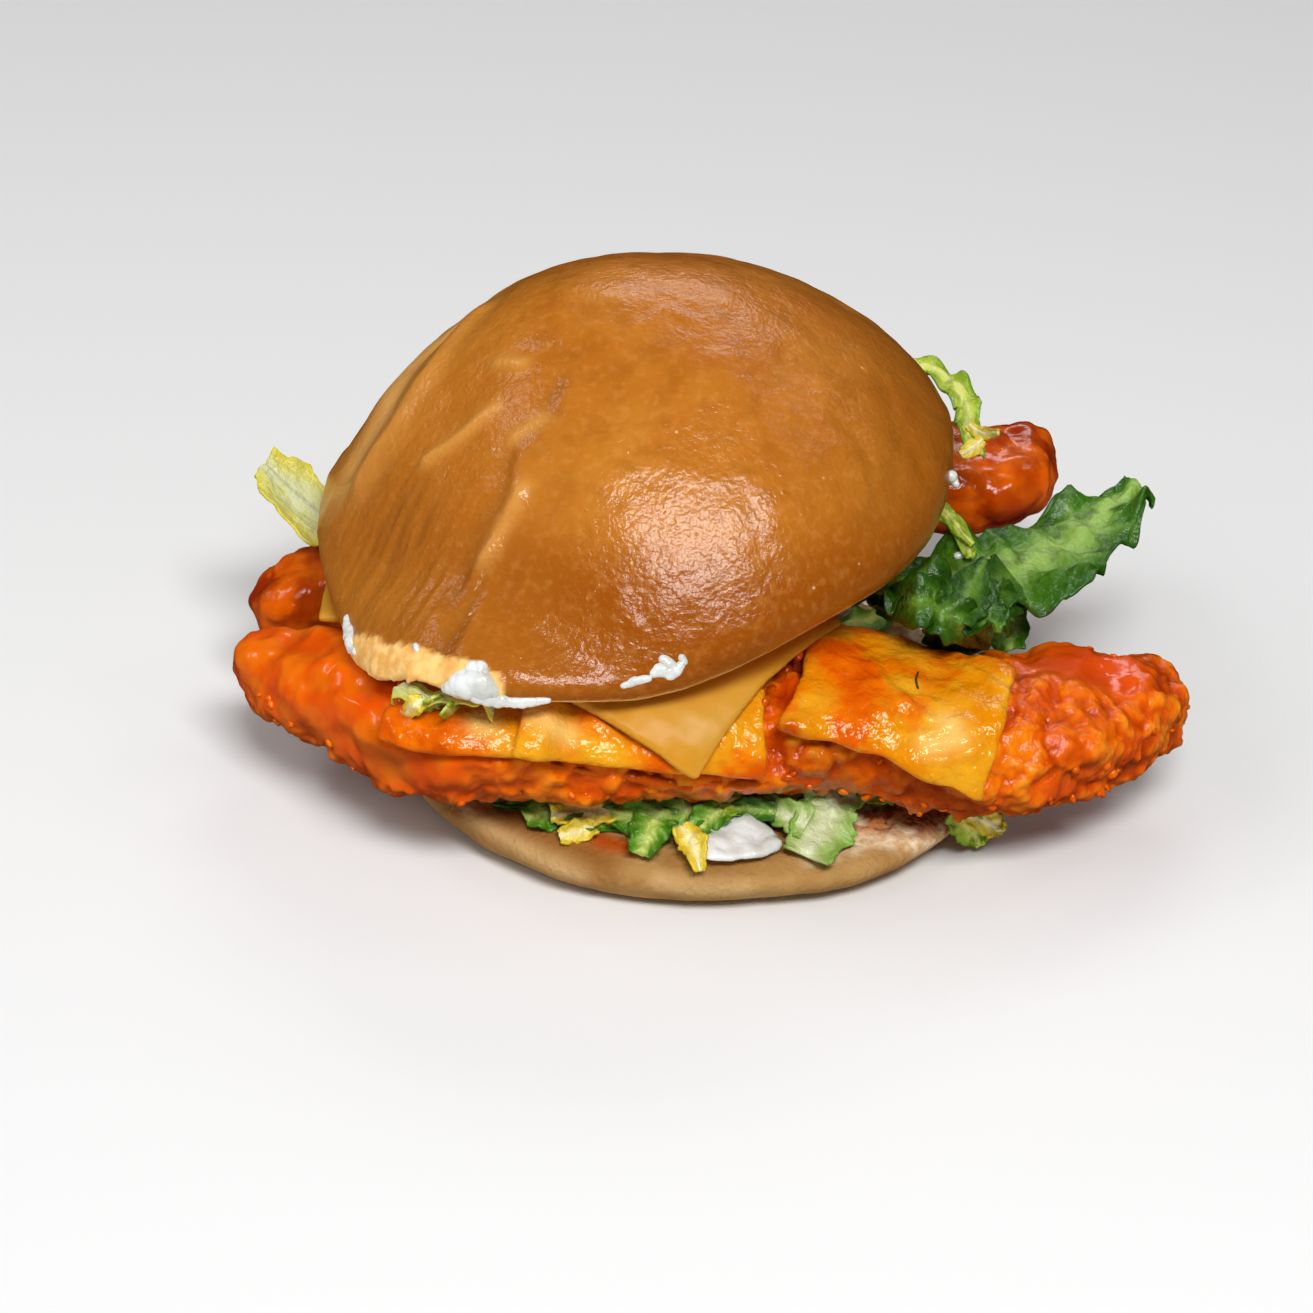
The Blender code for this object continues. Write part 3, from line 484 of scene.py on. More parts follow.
def leaf_piece(name, spine, ups, half_widths, cells, frill, waves, seed, follow=None, veins=5.0, curl=0.0):
    """A ruffled blade of lettuce, 0.5 mm thick, along a spine in mm.

    ups are the directions that the blade faces along its spine. With follow, a search tree, the blade
    takes its height from that surface. Masks: margin, 0 on the rib to 1 at the edge, and vein.
    """
    columns, rows = cells
    bm = bmesh.new()
    bmesh.ops.create_grid(bm, x_segments=columns, y_segments=rows, size=0.5)
    margin = bm.verts.layers.float.new("margin")
    vein = bm.verts.layers.float.new("vein")
    widths = [(w, 0.0, 0.0) for w in half_widths]
    for v in bm.verts:
        s, t = v.co.x + 0.5, 2 * v.co.y
        middle, up = curve_at(spine, s), curve_at(ups, s).normalized()
        ahead = (curve_at(spine, min(1.0, s + 0.02)) - curve_at(spine, max(0.0, s - 0.02))).normalized()
        side = up.cross(ahead).normalized()
        width = max(0.15, curve_at(widths, s).x)
        edge = abs(t)
        ragged = 0.26 * noise.noise(Vector((s * 8, t, seed))) + 0.06 * noise.noise(Vector((s * 26, t, seed)))
        notch = 1 + edge**2 * ragged
        p = middle + side * (t * width * notch)
        if follow:
            hit = follow.ray_cast(Vector((p.x, p.y, 200)) / 1000, Vector((0, 0, -1)))[0]
            hit = hit or follow.find_nearest(p / 1000)[0]
            p.z = hit.z * 1000 - 0.3
        branch = (s * veins - 0.9 * edge) % 1.0
        rib = math.exp(-((t / 0.13) ** 2))
        side_vein = math.exp(-(((branch - 0.5) / 0.09) ** 2)) * (1 - edge) ** 0.5
        puckers = noise.noise(Vector((s * veins * 2.2, t * 2.6, seed + 3))) + 0.6 * noise.noise(p * 0.35)
        wave = math.sin(waves * 2 * math.pi * s + seed + 1.5 * t)
        swell = 0.5 + 0.5 * math.cos(2 * math.pi * branch)
        height = frill * edge**2 * wave + frill * (0.6 * puckers - 0.45 * swell) + 0.3 * rib
        p += up * (height + curl * edge**2)
        p += ahead * (0.4 * frill * edge**2 * noise.noise(Vector((s * 14, t * 2, seed + 8))))
        v[margin] = min(1.0, max(0.0, edge**0.8 + 0.25 * noise.noise(Vector((s * 5, t * 2, seed + 6)))))
        v[vein] = max(rib, side_vein)
        v.co = p / 1000
    mesh = bpy.data.meshes.new(name)
    bm.to_mesh(mesh)
    bm.free()
    piece = bpy.data.objects.new(name, mesh)
    burger.objects.link(piece)
    thickness = piece.modifiers.new("thickness", "SOLIDIFY")
    thickness.thickness = 0.0005
    thickness.offset = 0.0
    thickness.use_even_offset = False
    return made_real(piece)


def lettuce_finish(name, rib, blade, margin, shade):
    """Wet lettuce: the rib's colour runs into the blade's and then the margin's, with pale veins.

    Each colour is given as red, green and blue, 0 to 255.
    """
    finish = Finish(name, {"Roughness": 0.36, "Specular IOR Level": 0.4,
                           "Subsurface Weight": 0.1, "Subsurface Scale": 0.001,
                           "Subsurface Radius": (0.5, 1.0, 0.2),
                           "Coat Weight": 0.3, "Coat Roughness": 0.15})
    from_rib = finish.mask("margin")
    colour = finish.tint(tone(*rib), finish.range(from_rib, -0.3, 1.9), 1.0, tone(*blade))
    colour = finish.tint(colour, finish.range(from_rib, -1.2, 1.1), 1.0, tone(*margin))
    colour = finish.tint(colour, finish.patches(4.0, 0.5, 0.72), 0.7, tone(*shade))
    colour = finish.tint(colour, finish.mask("vein"), 0.45, tone(*rib))
    finish.feed(finish.shader, {"Base Color": colour})
    finish.raise_by(finish.patches(1.4, 0.2, 0.8, 4.0), 0.3)
    return finish


romaine = lettuce_finish("romaine", (150, 184, 84), (76, 126, 24), (44, 94, 8), (22, 54, 2))
# A darker copy of romaine: painted shade for the leaves that lie under the crown's right edge.
shaded_romaine = lettuce_finish("shaded_romaine", (96, 136, 40), (48, 92, 8), (32, 74, 2), (14, 42, 0))
fresh = lettuce_finish("fresh_green", (190, 208, 104), (110, 162, 38), (66, 126, 14), (44, 92, 10))
heart = lettuce_finish("lettuce_heart", (244, 236, 176), (236, 214, 78), (222, 196, 36), (214, 172, 44))
iceberg = lettuce_finish("iceberg", (210, 218, 172), (178, 196, 122), (128, 172, 62), (150, 174, 92))
pale_body = lettuce_finish("pale_rib", (206, 210, 166), (202, 204, 128), (218, 206, 62), (206, 204, 110))
spring = lettuce_finish("spring_green", (214, 220, 118), (176, 194, 46), (124, 162, 30), (108, 138, 20))


def lettuce_slot(finish):
    """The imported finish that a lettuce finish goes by."""
    return "romaine" if finish in (romaine, shaded_romaine) else "pale_lettuce"


def spine_over(tree, pixels, heights):
    """A spine in mm over the pixels of a surface; it stands off towards the eye by heights, end to end."""
    near, far = heights
    spine = []
    for k, (x, y) in enumerate(pixels):
        rise = near + (far - near) * k / (len(pixels) - 1)
        spine.append(seen_on(tree, x, y) + toward_eye * rise)
    return spine


# The heap's own shreds are drawn in to its core, in mm, since the loose ones below take their places.
core_radius = 42
core_rim_heights = (12.4, 13.6)
core = fine_copy("lettuce_core", "lettuce_bed", 0.85, 2)
core_points, _ = points_of(core)
reach = numpy.linalg.norm(core_points[:, :2], axis=1)
drawn_in = numpy.minimum(reach, core_radius + 0.08 * (reach - core_radius)) / numpy.maximum(reach, 1e-6)
core_points[:, :2] *= drawn_in[:, None]
pressed_flat = numpy.clip(core_points[:, 2], *core_rim_heights)
core_points[:, 2] = numpy.where(reach > core_radius, pressed_flat, core_points[:, 2])
core.data.vertices.foreach_set("co", (core_points / 1000).ravel())
core.data.update()
painted(core, "margin", 0.5 + 0.7 * lumps(core_points, 7.0, 2, 5.0))
painted(core, "vein", 0.5 * step(0.2, 0.6, lumps(core_points, 3.0, 2, 7.0)))
romaine.on(core)
stands_for(core, "romaine", "lettuce_bed")

# Each shred that shows at the front: its finish, the pixels that its spine runs over on the heel, how far
# each end lies above the heel in mm, half widths in mm, frill and waves.
loose_shreds = (
    ("dark_left", romaine, ((560, 792), (520, 796), (492, 800)), (3.6, 2.0), (2.4, 2.2, 1.0), 0.6, 1.2),
    ("tiny_left", romaine, ((400, 770), (388, 774), (376, 775)), (5.5, 5.0), (1.0, 1.2, 0.6), 0.3, 1.0),
    ("behind", romaine, ((800, 800), (750, 804), (700, 800), (650, 796)), (4.2, 4.2),
     (2.6, 3.0, 2.8, 2.0), 1.0, 2.2),
    ("strip", fresh, ((660, 808), (612, 818), (566, 824)), (4.0, 1.6), (2.2, 2.2, 0.9), 0.8, 2.2),
    ("tip", fresh, ((574, 804), (548, 810), (526, 818)), (4.6, 2.8), (2.4, 3.4, 1.4), 0.8, 1.3),
    ("yellow_fold", heart, ((622, 808), (588, 812), (552, 814)), (5.2, 4.0), (1.8, 2.6, 1.5), 0.9, 2.0),
    ("yellow_bit", heart, ((596, 826), (576, 832), (560, 836)), (2.4, 1.4), (1.5, 2.0, 1.2), 0.6, 1.0),
    ("ruffle", fresh, ((706, 802), (676, 808), (644, 814), (612, 814)), (6.4, 4.6),
     (3.6, 4.4, 3.8, 1.8), 1.5, 2.6),
    ("lobe", fresh, ((656, 816), (648, 834), (640, 854)), (6.0, 2.4), (3.6, 3.2, 2.0), 1.0, 1.4),
    ("band", spring, ((742, 798), (712, 802), (684, 808)), (7.2, 6.0), (2.2, 3.4, 2.4), 1.2, 1.8),
    ("join", fresh, ((722, 808), (704, 820), (692, 834)), (6.6, 4.4), (2.6, 2.6, 1.4), 0.8, 1.2),
    ("yellow_strip", heart, ((680, 824), (690, 838), (696, 852), (700, 870)), (6.2, 2.6),
     (1.6, 2.4, 1.9, 0.7), 0.6, 1.3),
    ("dark_right", romaine, ((775, 812), (752, 808), (732, 808)), (5.6, 5.4), (1.6, 2.0, 1.2), 0.5, 1.0),
    ("yellow_gap", heart, ((802, 790), (790, 792), (778, 794)), (6.4, 6.0), (1.4, 1.8, 1.2), 0.5, 1.0),
    ("iceberg_left", iceberg, ((806, 822), (782, 812), (758, 798)), (6.0, 5.6), (3.4, 2.6, 1.4), 0.6, 1.0),
    ("iceberg_top", iceberg, ((856, 788), (834, 798), (806, 806)), (6.6, 6.0), (2.2, 3.8, 3.2), 0.7, 1.2),
    ("iceberg_lower", iceberg, ((834, 804), (820, 826), (806, 856)), (6.2, 2.4), (4.0, 5.6, 3.8), 0.7, 1.2),
    ("spring_right", spring, ((856, 788), (874, 792), (893, 797)), (6.0, 4.6), (1.8, 2.0, 1.2), 0.8, 1.4),
)
picture_middle = (656, 656)
toward_eye = -sight_line(*picture_middle)
for number, (name, finish, pixels, heights, widths, frill, waves) in enumerate(loose_shreds):
    spine = spine_over(heel_tree, pixels, heights)
    ups = [toward_eye + Vector((0, 0, 0.6 - 0.5 * k / len(spine))) for k in range(len(spine))]
    shred = leaf_piece("shred_" + name, spine, ups, widths, (40, 16), 1.2 * frill, waves, 3.1 * number,
                       veins=3.0, curl=0.9)
    finish.on(shred)
    stands_for(shred, lettuce_slot(finish))

# Two shreds that hang down beside the heel on the right: pixels with heights above the table in mm.
hanging_shreds = (
    ("hanging_right", spring, ((954, 812, 12), (964, 822, 9), (974, 834, 5), (980, 846, 2)),
     (2.0, 2.8, 2.8, 1.0)),
    ("hanging_side", heart, ((962, 812, 12), (980, 818, 9), (994, 826, 6), (1003, 832, 4)),
     (1.6, 2.2, 2.2, 0.8)),
)
for name, finish, places, widths in hanging_shreds:
    spine = []
    for x, y, height in places:
        direction = sight_line(x, y)
        spine.append((eye + direction * ((height / 1000 - eye.z) / direction.z)) * 1000)
    shred = leaf_piece("shred_" + name, spine, [toward_eye] * 4, widths, (40, 18), 1.5, 2.4, 5.0, veins=3.0)
    finish.on(shred)
    stands_for(shred, lettuce_slot(finish))

# The shreds round the sides and the back, which start inside the heap and run outward on its top: direction
# in degrees, reach, drop and half width in mm.
shred_start = 34
shred_height = 14.6
side_shreds = (
    (-148, 60, 2.0, 3.5, romaine), (-165, 55, 1.0, 3.0, spring), (170, 59, 4.0, 4.5, heart),
    (152, 54, 1.0, 3.0, romaine), (133, 58, 3.0, 5.0, romaine), (114, 55, 1.5, 3.0, iceberg),
    (96, 58.5, 5.0, 4.5, fresh), (78, 55, 1.0, 3.5, heart), (60, 58.5, 4.5, 4.5, iceberg),
    (40, 55, 1.0, 3.5, fresh), (20, 60, 4.5, 4.5, romaine), (2, 54, 1.0, 3.0, spring),
)
for number, (degrees, reach, drop, width, finish) in enumerate(side_shreds):
    outward = Vector((math.cos(math.radians(degrees)), math.sin(math.radians(degrees)), 0))
    spine = []
    for k in range(5):
        height = Vector((0, 0, shred_height - drop * (k / 4) ** 2))
        spine.append(outward * (shred_start + (reach - shred_start) * k / 4) + height)
    ups = [outward * 0.15 * k + Vector((0, 0, 1)) for k in range(5)]
    widths = (width, 1.1 * width, width, 0.9 * width, 0.4 * width)
    shred = leaf_piece(f"side_shred_{number}", spine, ups, widths, (40, 16), 1.1, 2.2, 2.3 * number,
                       veins=4.0)
    finish.on(shred)
    stands_for(shred, lettuce_slot(finish))


# Chicken tenders
# Two long strips of breast in a thick craggy breading, fried dark and tossed in a wet orange-red hot
# sauce, which fills the hollows and leaves the tops of the crags lighter.

def crags(points, size, seed):
    """Rounded lumps packed side by side, 1 at a lump's middle and 0 in the gaps; size is in mm."""
    shift = Vector((seed, 0, 2 * seed))
    nearest = numpy.array([noise.voronoi(Vector(p) / size + shift)[0][0] for p in points])
    return numpy.clip(1 - (1.3 * nearest) ** 2, 0, 1)


def breaded(name, node, grain, seed, sauce_at, depths, dark_end=0.0):
    """A tender's fried skin: bulk, packed crags and nubs, each as deep as told in mm, drowned in places.

    Its underside is darkened with painted shade, and its left end too, as strongly as dark_end says.
    """
    piece = fine_copy(name, node, grain, 5)
    points, normals = points_of(piece)
    wander = points + 1.8 * numpy.column_stack([lumps(points, 5.0, 2, seed + k) for k in range(3)])
    bulk = lumps(points, 12.0, 2, seed)
    big = crags(wander, 6.8, seed)
    small = crags(wander, 2.6, seed + 4)
    drowned = numpy.clip(sauce_at(points, normals) + 0.3 * lumps(points, 9.0, 2, seed + 9), 0, 1)
    rough = 1 - drowned
    waves = lumps(points * (1, 0.5, 0.5), 8.0, 2, seed + 15)
    height = depths[0] * bulk + (0.2 + 0.8 * rough) * depths[1] * (big - 0.5) + 0.7 * drowned * waves
    height += (0.08 + 0.92 * rough) * depths[2] * (small - 0.5)
    pushed_out(piece, height)
    painted(piece, "crag", 0.1 + 0.5 * big * (0.5 + 0.5 * rough) + 0.45 * small * (0.2 + 0.8 * rough))
    painted(piece, "sauce", drowned)
    # Painted shade on the underside, and on the left end as strongly as dark_end says.
    painted(piece, "painted_shade", step(0.2, -0.55, normals[:, 2]) + dark_end * step(-28, -44, points[:, 0]))
    return piece


def front_sauce(points, normals):
    """Where the front tender is drowned in sauce: its left end and a pool on top of its right end."""
    left = step(-22, -48, points[:, 0]) * step(-0.75, -0.1, normals[:, 2])
    from_middle = (points[:, :2] - pool_middle) / pool_size
    pool = numpy.exp(-((from_middle**2).sum(axis=1)) ** 2) * step(0.3, 0.7, normals[:, 2])
    return 0.9 * left + 1.2 * pool


def back_sauce(points, normals):
    """The back tender is wet all over."""
    return 0.75 + 0 * points[:, 0]


pool_middle = (67, -15)
pool_size = (11, 8)
front = breaded("tender_front", "chicken_front", 0.6, 3.0, front_sauce, (0.9, 1.9, 0.65))
back = breaded("tender_back", "chicken_back", 0.75, 8.0, back_sauce, (1.3, 2.2, 0.4), 0.9)
front_points, front_normals = points_of(front)
evenly_painted(front, {"deep": 0.0})
painted(front, "pool", front_sauce(front_points, front_normals) * step(40, 55, front_points[:, 0]))

# Painted shade on the front tender, more below two slices and less between them: pixels, strength, width in
# mm.
shade_marks = (
    (((790, 748), (850, 766), (900, 786), (955, 802)), 0.9, 4.0),
    (((380, 742), (420, 752)), 0.55, 4.0),
    (((500, 770), (545, 774)), -0.7, 4.5),
)
front_tree = tree_of(front)
front_shade = step(0.2, -0.55, front_normals[:, 2])
for pixels, strength, width in shade_marks:
    front_shade += strength * stroke(front_points, front_tree, pixels, width)
painted(front, "painted_shade", front_shade)
back_points, _ = points_of(back)
painted(back, "deep", 0.75 + 0.5 * lumps(back_points, 9.0, 2, 2.0))

sauced = Finish("sauced_breading", {"Roughness": 0.45, "Specular IOR Level": 0.25,
                                    "Specular Tint": tone(255, 140, 60),
                                    "Coat Weight": 0.7, "Coat Roughness": 0.12, "Coat IOR": 1.5})
glowing = sauced.blend(sauced.patches(9.0, 0.35, 0.65), tone(224, 82, 0), tone(238, 110, 0))
crest = sauced.blend(sauced.patches(3.0, 0.4, 0.6), tone(236, 122, 4), tone(244, 152, 28))
hollow = sauced.blend(sauced.patches(6.0, 0.4, 0.6), tone(164, 46, 0), tone(196, 66, 0))
breading = sauced.blend(sauced.range(sauced.mask("crag"), -0.5, 1.7), hollow, glowing)
breading = sauced.tint(breading, sauced.range(sauced.mask("crag"), -1.8, 1.3), 0.8, crest)
wet = sauced.blend(sauced.patches(7.0, 0.38, 0.62), tone(242, 90, 0), tone(252, 126, 6))
breading = sauced.tint(breading, sauced.mask("sauce"), 0.7, wet)
breading = sauced.tint(breading, sauced.mask("pool"), 0.8, tone(214, 62, 4))
# Painted shade darkens the undersides and the places below the slices.
breading = sauced.tint(breading, sauced.mask("painted_shade"), 0.6, tone(136, 44, 0))
# The back tender is painted a deeper, darker orange.
deeper_back_colour = sauced.blend(sauced.patches(8.0, 0.4, 0.62), tone(150, 40, 0), tone(226, 98, 0))
breading = sauced.blend(sauced.mask("deep"), breading, deeper_back_colour)
sauced.feed(sauced.shader, {"Base Color": breading})
dry = sauced.range(sauced.mask("sauce"), 1.0, 0.1)
sauced.raise_by(sauced.sums("MULTIPLY", sauced.patches(1.0, 0.2, 0.8, 4.0), dry), 0.14)
sauced.raise_by(sauced.sums("MULTIPLY", sauced.patches(3.2, 0.2, 0.8, 2.0), dry), 0.25)
sauced.on(front, back)
stands_for(front, "sauced_breading", "chicken_front")
stands_for(back, "sauced_breading", "chicken_back")


def scattered_crumbs(name, piece, count, sizes, seed, wanted):
    """Loose crumbs of breading, sunk by half into a tender where wanted(point, normal) lets them."""
    draw = random.Random(seed)
    vertices = piece.data.vertices
    bm = bmesh.new()
    made = 0
    while made < count:
        v = vertices[draw.randrange(len(vertices))]
        if draw.random() > wanted(v.co * 1000, v.normal):
            continue
        radius = draw.uniform(*sizes) / 1000
        turn = Matrix.Rotation(draw.uniform(0, math.tau), 4, v.normal)
        long, wide, high = draw.uniform(0.6, 1.6), draw.uniform(0.7, 1.3), draw.uniform(0.5, 0.9)
        squash = Matrix.Diagonal((long, wide, high, 1.0))
        at = Matrix.Translation(v.co - v.normal * radius * 0.1)
        found = bmesh.ops.create_icosphere(bm, subdivisions=2, radius=radius, matrix=at @ turn @ squash)
        for corner in found["verts"]:
            wander = noise.noise_vector(corner.co * 700 + Vector((seed, 0, 0)))
            corner.co += wander * radius * 0.3
        made += 1
    mesh = bpy.data.meshes.new(name)
    bm.to_mesh(mesh)
    bm.free()
    mesh.shade_smooth()
    crumbs = bpy.data.objects.new(name, mesh)
    burger.objects.link(crumbs)
    points, normals = points_of(crumbs)
    painted(crumbs, "crag", 0.6 + 0.4 * lumps(points, 5.0, 1, seed))
    # Painted shade on the crumbs' undersides.
    painted(crumbs, "painted_shade", step(0.15, -0.6, normals[:, 2]))
    evenly_painted(crumbs, {"sauce": 0.15, "pool": 0.0, "deep": 0.0})
    sauced.on(crumbs)
    return stands_for(crumbs, "sauced_breading")


def front_crumb_places(p, normal):
    """Most crumbs show along the lower edge and on the right end's side."""
    low = max(0.0, 0.45 - normal.z)
    right = 0.06 if p.x > 52 and normal.z < 0.7 else 0.0
    return min(1.0, 0.02 + 0.5 * low * (0.4 if p.x < -35 else 1.0) + right)


scattered_crumbs("crumbs_front", front, 200, (0.5, 1.1), 11, front_crumb_places)


# Cheese slices
# Processed cheese in thin squares, softened by the hot chicken. Three are smeared with hot sauce, one
# lies clean on top with a corner hanging over the front, and one bridges the tenders behind.

def cheese_slice(name, node, sag, seed, grain=0.45):
    """A soft slice with rounded edges and slow waves."""
    piece = fine_copy(name, node, grain, 22)
    points, normals = points_of(piece)
    pushed_out(piece, sag * lumps(points, 9.0, 2, seed) + 0.2)
    painted(piece, "edge", step(0.35, 0.1, numpy.abs(normals[:, 2])))
    return piece


sauced_cheese = Finish("sauced_cheese", {"Roughness": 0.32, "Specular IOR Level": 0.4, "Coat Weight": 0.45,
                                         "Specular Tint": tone(255, 190, 90), "Coat Roughness": 0.1})
cheese_patches = sauced_cheese.patches(10.0, 0.35, 0.65)
under_sauce = sauced_cheese.blend(cheese_patches, tone(222, 132, 0), tone(230, 162, 28))
film = sauced_cheese.blend(sauced_cheese.patches(5.0, 0.35, 0.65), tone(214, 84, 0), tone(232, 112, 0))
smear = sauced_cheese.sums("ADD", sauced_cheese.patches(8.0, 0.42, 0.66), sauced_cheese.mask("smear"))
smear = sauced_cheese.sums("SUBTRACT", smear, sauced_cheese.mask("bare"))
cheese_colour = sauced_cheese.blend(smear, under_sauce, film)
# Pale: the cheese's own yellower colour, and a painted highlight on the middle slice's lifted edge.
cheese_colour = sauced_cheese.blend(sauced_cheese.mask("pale"), cheese_colour, tone(240, 192, 104))
cheese_colour = sauced_cheese.blend(sauced_cheese.mask("skirt"), cheese_colour, tone(190, 72, 0))
cheese_colour = sauced_cheese.blend(sauced_cheese.specks(2.2, 0.14, 0.12), cheese_colour, tone(176, 66, 8))
sauced_cheese.feed(sauced_cheese.shader, {"Base Color": cheese_colour})
sauced_cheese.raise_by(sauced_cheese.patches(3.5, 0.2, 0.8, 3.0), 0.5)
sauced_cheese.raise_by(sauced_cheese.specks(1.6, 0.3, 0.3), 0.1)

# The pixels along which each slice is smeared with sauce, bare, pale where it is lifted, and wrinkled.
smear_marks = {
    "cheese_left": ((372, 705), (395, 722), (440, 738), (490, 744)),
    "cheese_middle": ((600, 728), (640, 756), (700, 778), (760, 776)),
    "cheese_right": ((835, 655), (860, 690), (850, 720)),
}
bare_marks = {
    "cheese_left": ((508, 722), (514, 742)),
    "cheese_middle": ((535, 722), (560, 745), (612, 758)),
    "cheese_right": ((925, 752), (962, 768), (985, 725), (990, 680), (940, 735)),
}
# The pale is partly the cheese's own yellower colour and partly a painted highlight on the lifted edge.
pale_marks = {
    "cheese_left": ((478, 722), (486, 724)),
    "cheese_middle": ((533, 712), (548, 722), (566, 733)),
    "cheese_right": ((948, 722), (956, 738), (930, 745)),
}
skirt_marks = {
    "cheese_left": ((376, 742), (400, 752), (440, 752)),
    "cheese_middle": ((628, 772), (660, 788), (700, 792), (740, 796)),
    "cheese_right": ((790, 730), (826, 750), (850, 764)),
}
wrinkle_marks = {
    "cheese_left": (((372, 685), (388, 715), (400, 740)),),
    "cheese_middle": (((588, 708), (608, 728), (628, 752)), ((752, 690), (768, 730))),
    "cheese_right": (((905, 700), (930, 718), (968, 722)), ((918, 735), (940, 728), (958, 716)),
                     ((925, 746), (950, 742), (975, 726)), ((932, 758), (956, 756), (982, 742)),
                     ((872, 660), (890, 690), (930, 700)), ((950, 640), (968, 668), (1005, 690))),
}
sags = {"cheese_left": 0.5, "cheese_middle": 0.4, "cheese_right": 0.9}
smear_widths = {"cheese_left": 7.0, "cheese_middle": 3.5, "cheese_right": 3.5}
for number, node in enumerate(("cheese_left", "cheese_middle", "cheese_right")):
    piece = cheese_slice("slice_" + node, node, sags[node], 5.0 + number)
    points, _ = points_of(piece)
    tree = tree_of(piece)
    folds = 0 * points[:, 0]
    for path in wrinkle_marks[node]:
        above = [(x + 5, y - 7) for x, y in path]
        folds += 0.4 * stroke(points, tree, path, 1.1) - 0.35 * stroke(points, tree, above, 1.2)
    pushed_out(piece, folds)
    painted(piece, "smear", 1.3 * stroke(points, tree, smear_marks[node], smear_widths[node]))
    painted(piece, "bare", stroke(points, tree, bare_marks[node], 4.5))
    # Pale marks: own yellower cheese, and a painted highlight on the middle slice's lifted edge.
    painted(piece, "pale", 0.9 * stroke(points, tree, pale_marks[node], 2.2))
    painted(piece, "skirt", 1.2 * stroke(points, tree, skirt_marks[node], 2.0))
    sauced_cheese.on(piece)
    stands_for(piece, "sauced_cheese", node)

plain_cheese = Finish("plain_cheese", {"Roughness": 0.45, "Specular IOR Level": 0.3})
plain_patches = plain_cheese.patches(16.0, 0.3, 0.7)
plain_colour = plain_cheese.blend(plain_patches, tone(192, 134, 28), tone(198, 142, 40))
plain_colour = plain_cheese.blend(plain_cheese.mask("tip"), plain_colour, tone(208, 140, 10))
# Painted highlight on the clean slice.
plain_colour = plain_cheese.blend(plain_cheese.mask("light"), plain_colour, tone(206, 152, 56))
plain_colour = plain_cheese.blend(plain_cheese.mask("edge"), plain_colour, tone(214, 148, 36))
plain_cheese.feed(plain_cheese.shader, {"Base Color": plain_colour})
plain_cheese.raise_by(plain_cheese.patches(6.0, 0.2, 0.8, 2.0), 0.15)
clean_slice = cheese_slice("slice_cheese_clean", "cheese_clean", 0.1, 9.0)
back_slice = cheese_slice("slice_cheese_back", "cheese_back", 0.25, 10.0, 0.6)
clean_points, _ = points_of(clean_slice)
clean_tree = tree_of(clean_slice)
tip_marks = ((640, 735), (692, 772), (730, 735))
# Painted highlight across the clean slice, right of its middle.
highlight_marks = ((655, 705), (700, 715), (742, 690))
painted(clean_slice, "tip", 0.8 * stroke(clean_points, clean_tree, tip_marks, 5.0))
painted(clean_slice, "light", 0.8 * stroke(clean_points, clean_tree, highlight_marks, 4.5))
plain_cheese.on(clean_slice, back_slice)
stands_for(clean_slice, "cheese", "cheese_clean")
stands_for(back_slice, "cheese", "cheese_back")


def joined_tree(*pieces):
    """One search tree of several pieces' faces."""
    points, faces = [], []
    for piece in pieces:
        first = len(points)
        points += [v.co for v in piece.data.vertices]
        faces += [tuple(first + corner for corner in p.vertices) for p in piece.data.polygons]
    return BVHTree.FromPolygons(points, faces)


# A fleck of dried herb that is stuck to the right slice.
herb = Finish("dried_herb", {"Base Color": tone(52, 54, 12), "Roughness": 0.6})
herb.raise_by(herb.patches(0.5, 0.3, 0.7), 0.05)
fleck_marks = ((918, 672), (916, 680), (918, 688))
fleck_path = bead_path(tree_of(solids["cheese_right"]), fleck_marks, (0.2, 0.26, 0.2), 0.8)
fleck = beads("herb_fleck", fleck_path, 0.1, 2)
herb.on(fleck)
stands_for(fleck, "romaine")

# Hot sauce that has run together below and beside the slices: pixels along each run, and radii in mm.
sauce_runs = (
    ("below_left", ((552, 764), (590, 772), (624, 778)), (0.5, 0.9, 0.7)),
    ("below_middle", ((620, 774), (650, 780), (690, 784), (716, 782)), (0.8, 1.3, 1.4, 0.9)),
    ("below_clean", ((700, 782), (728, 785), (760, 782), (790, 776)), (0.9, 1.3, 1.2, 0.5)),
    ("beside_clean", ((764, 704), (774, 688), (788, 668), (800, 654)), (0.8, 1.2, 1.1, 0.6)),
)
whole_tree = joined_tree(*[piece for name, piece in solids.items() if name != "mayo_crown"])
for name, pixels, radii in sauce_runs:
    run = beads("sauce_" + name, bead_path(whole_tree, pixels, radii, -0.4, 0.0, len(name)), 0.25, 6)
    points, _ = points_of(run)
    pushed_out(run, 0.35 * lumps(points, 2.5, 2, 4.0))
    # Painted shade darkens the runs, which lie below the slices.
    evenly_painted(run, {"crag": 0.45, "sauce": 0.8, "painted_shade": 0.8})
    sauced.on(run)
    stands_for(run, "sauced_breading")


# Lettuce leaves
# A big crinkled romaine leaf hangs out on the right, with a small ruffled one on it. A yellow heart leaf
# sticks out on the left and thin yellow-green shreds hang out behind and at the front edge.

def leaf_like(name, node, slot, finish, spine, half_widths, cells, frill, waves, seed, veins, curl=0.0):
    """A detailed leaf that takes the place and the height of a packed leaf."""
    follow = tree_of(solids[node])
    ups = [Vector((0, 0, 1))] * len(spine)
    piece = leaf_piece(name, spine, ups, half_widths, cells, frill, waves, seed, follow, veins, curl)
    finish.on(piece)
    return stands_for(piece, slot, node)


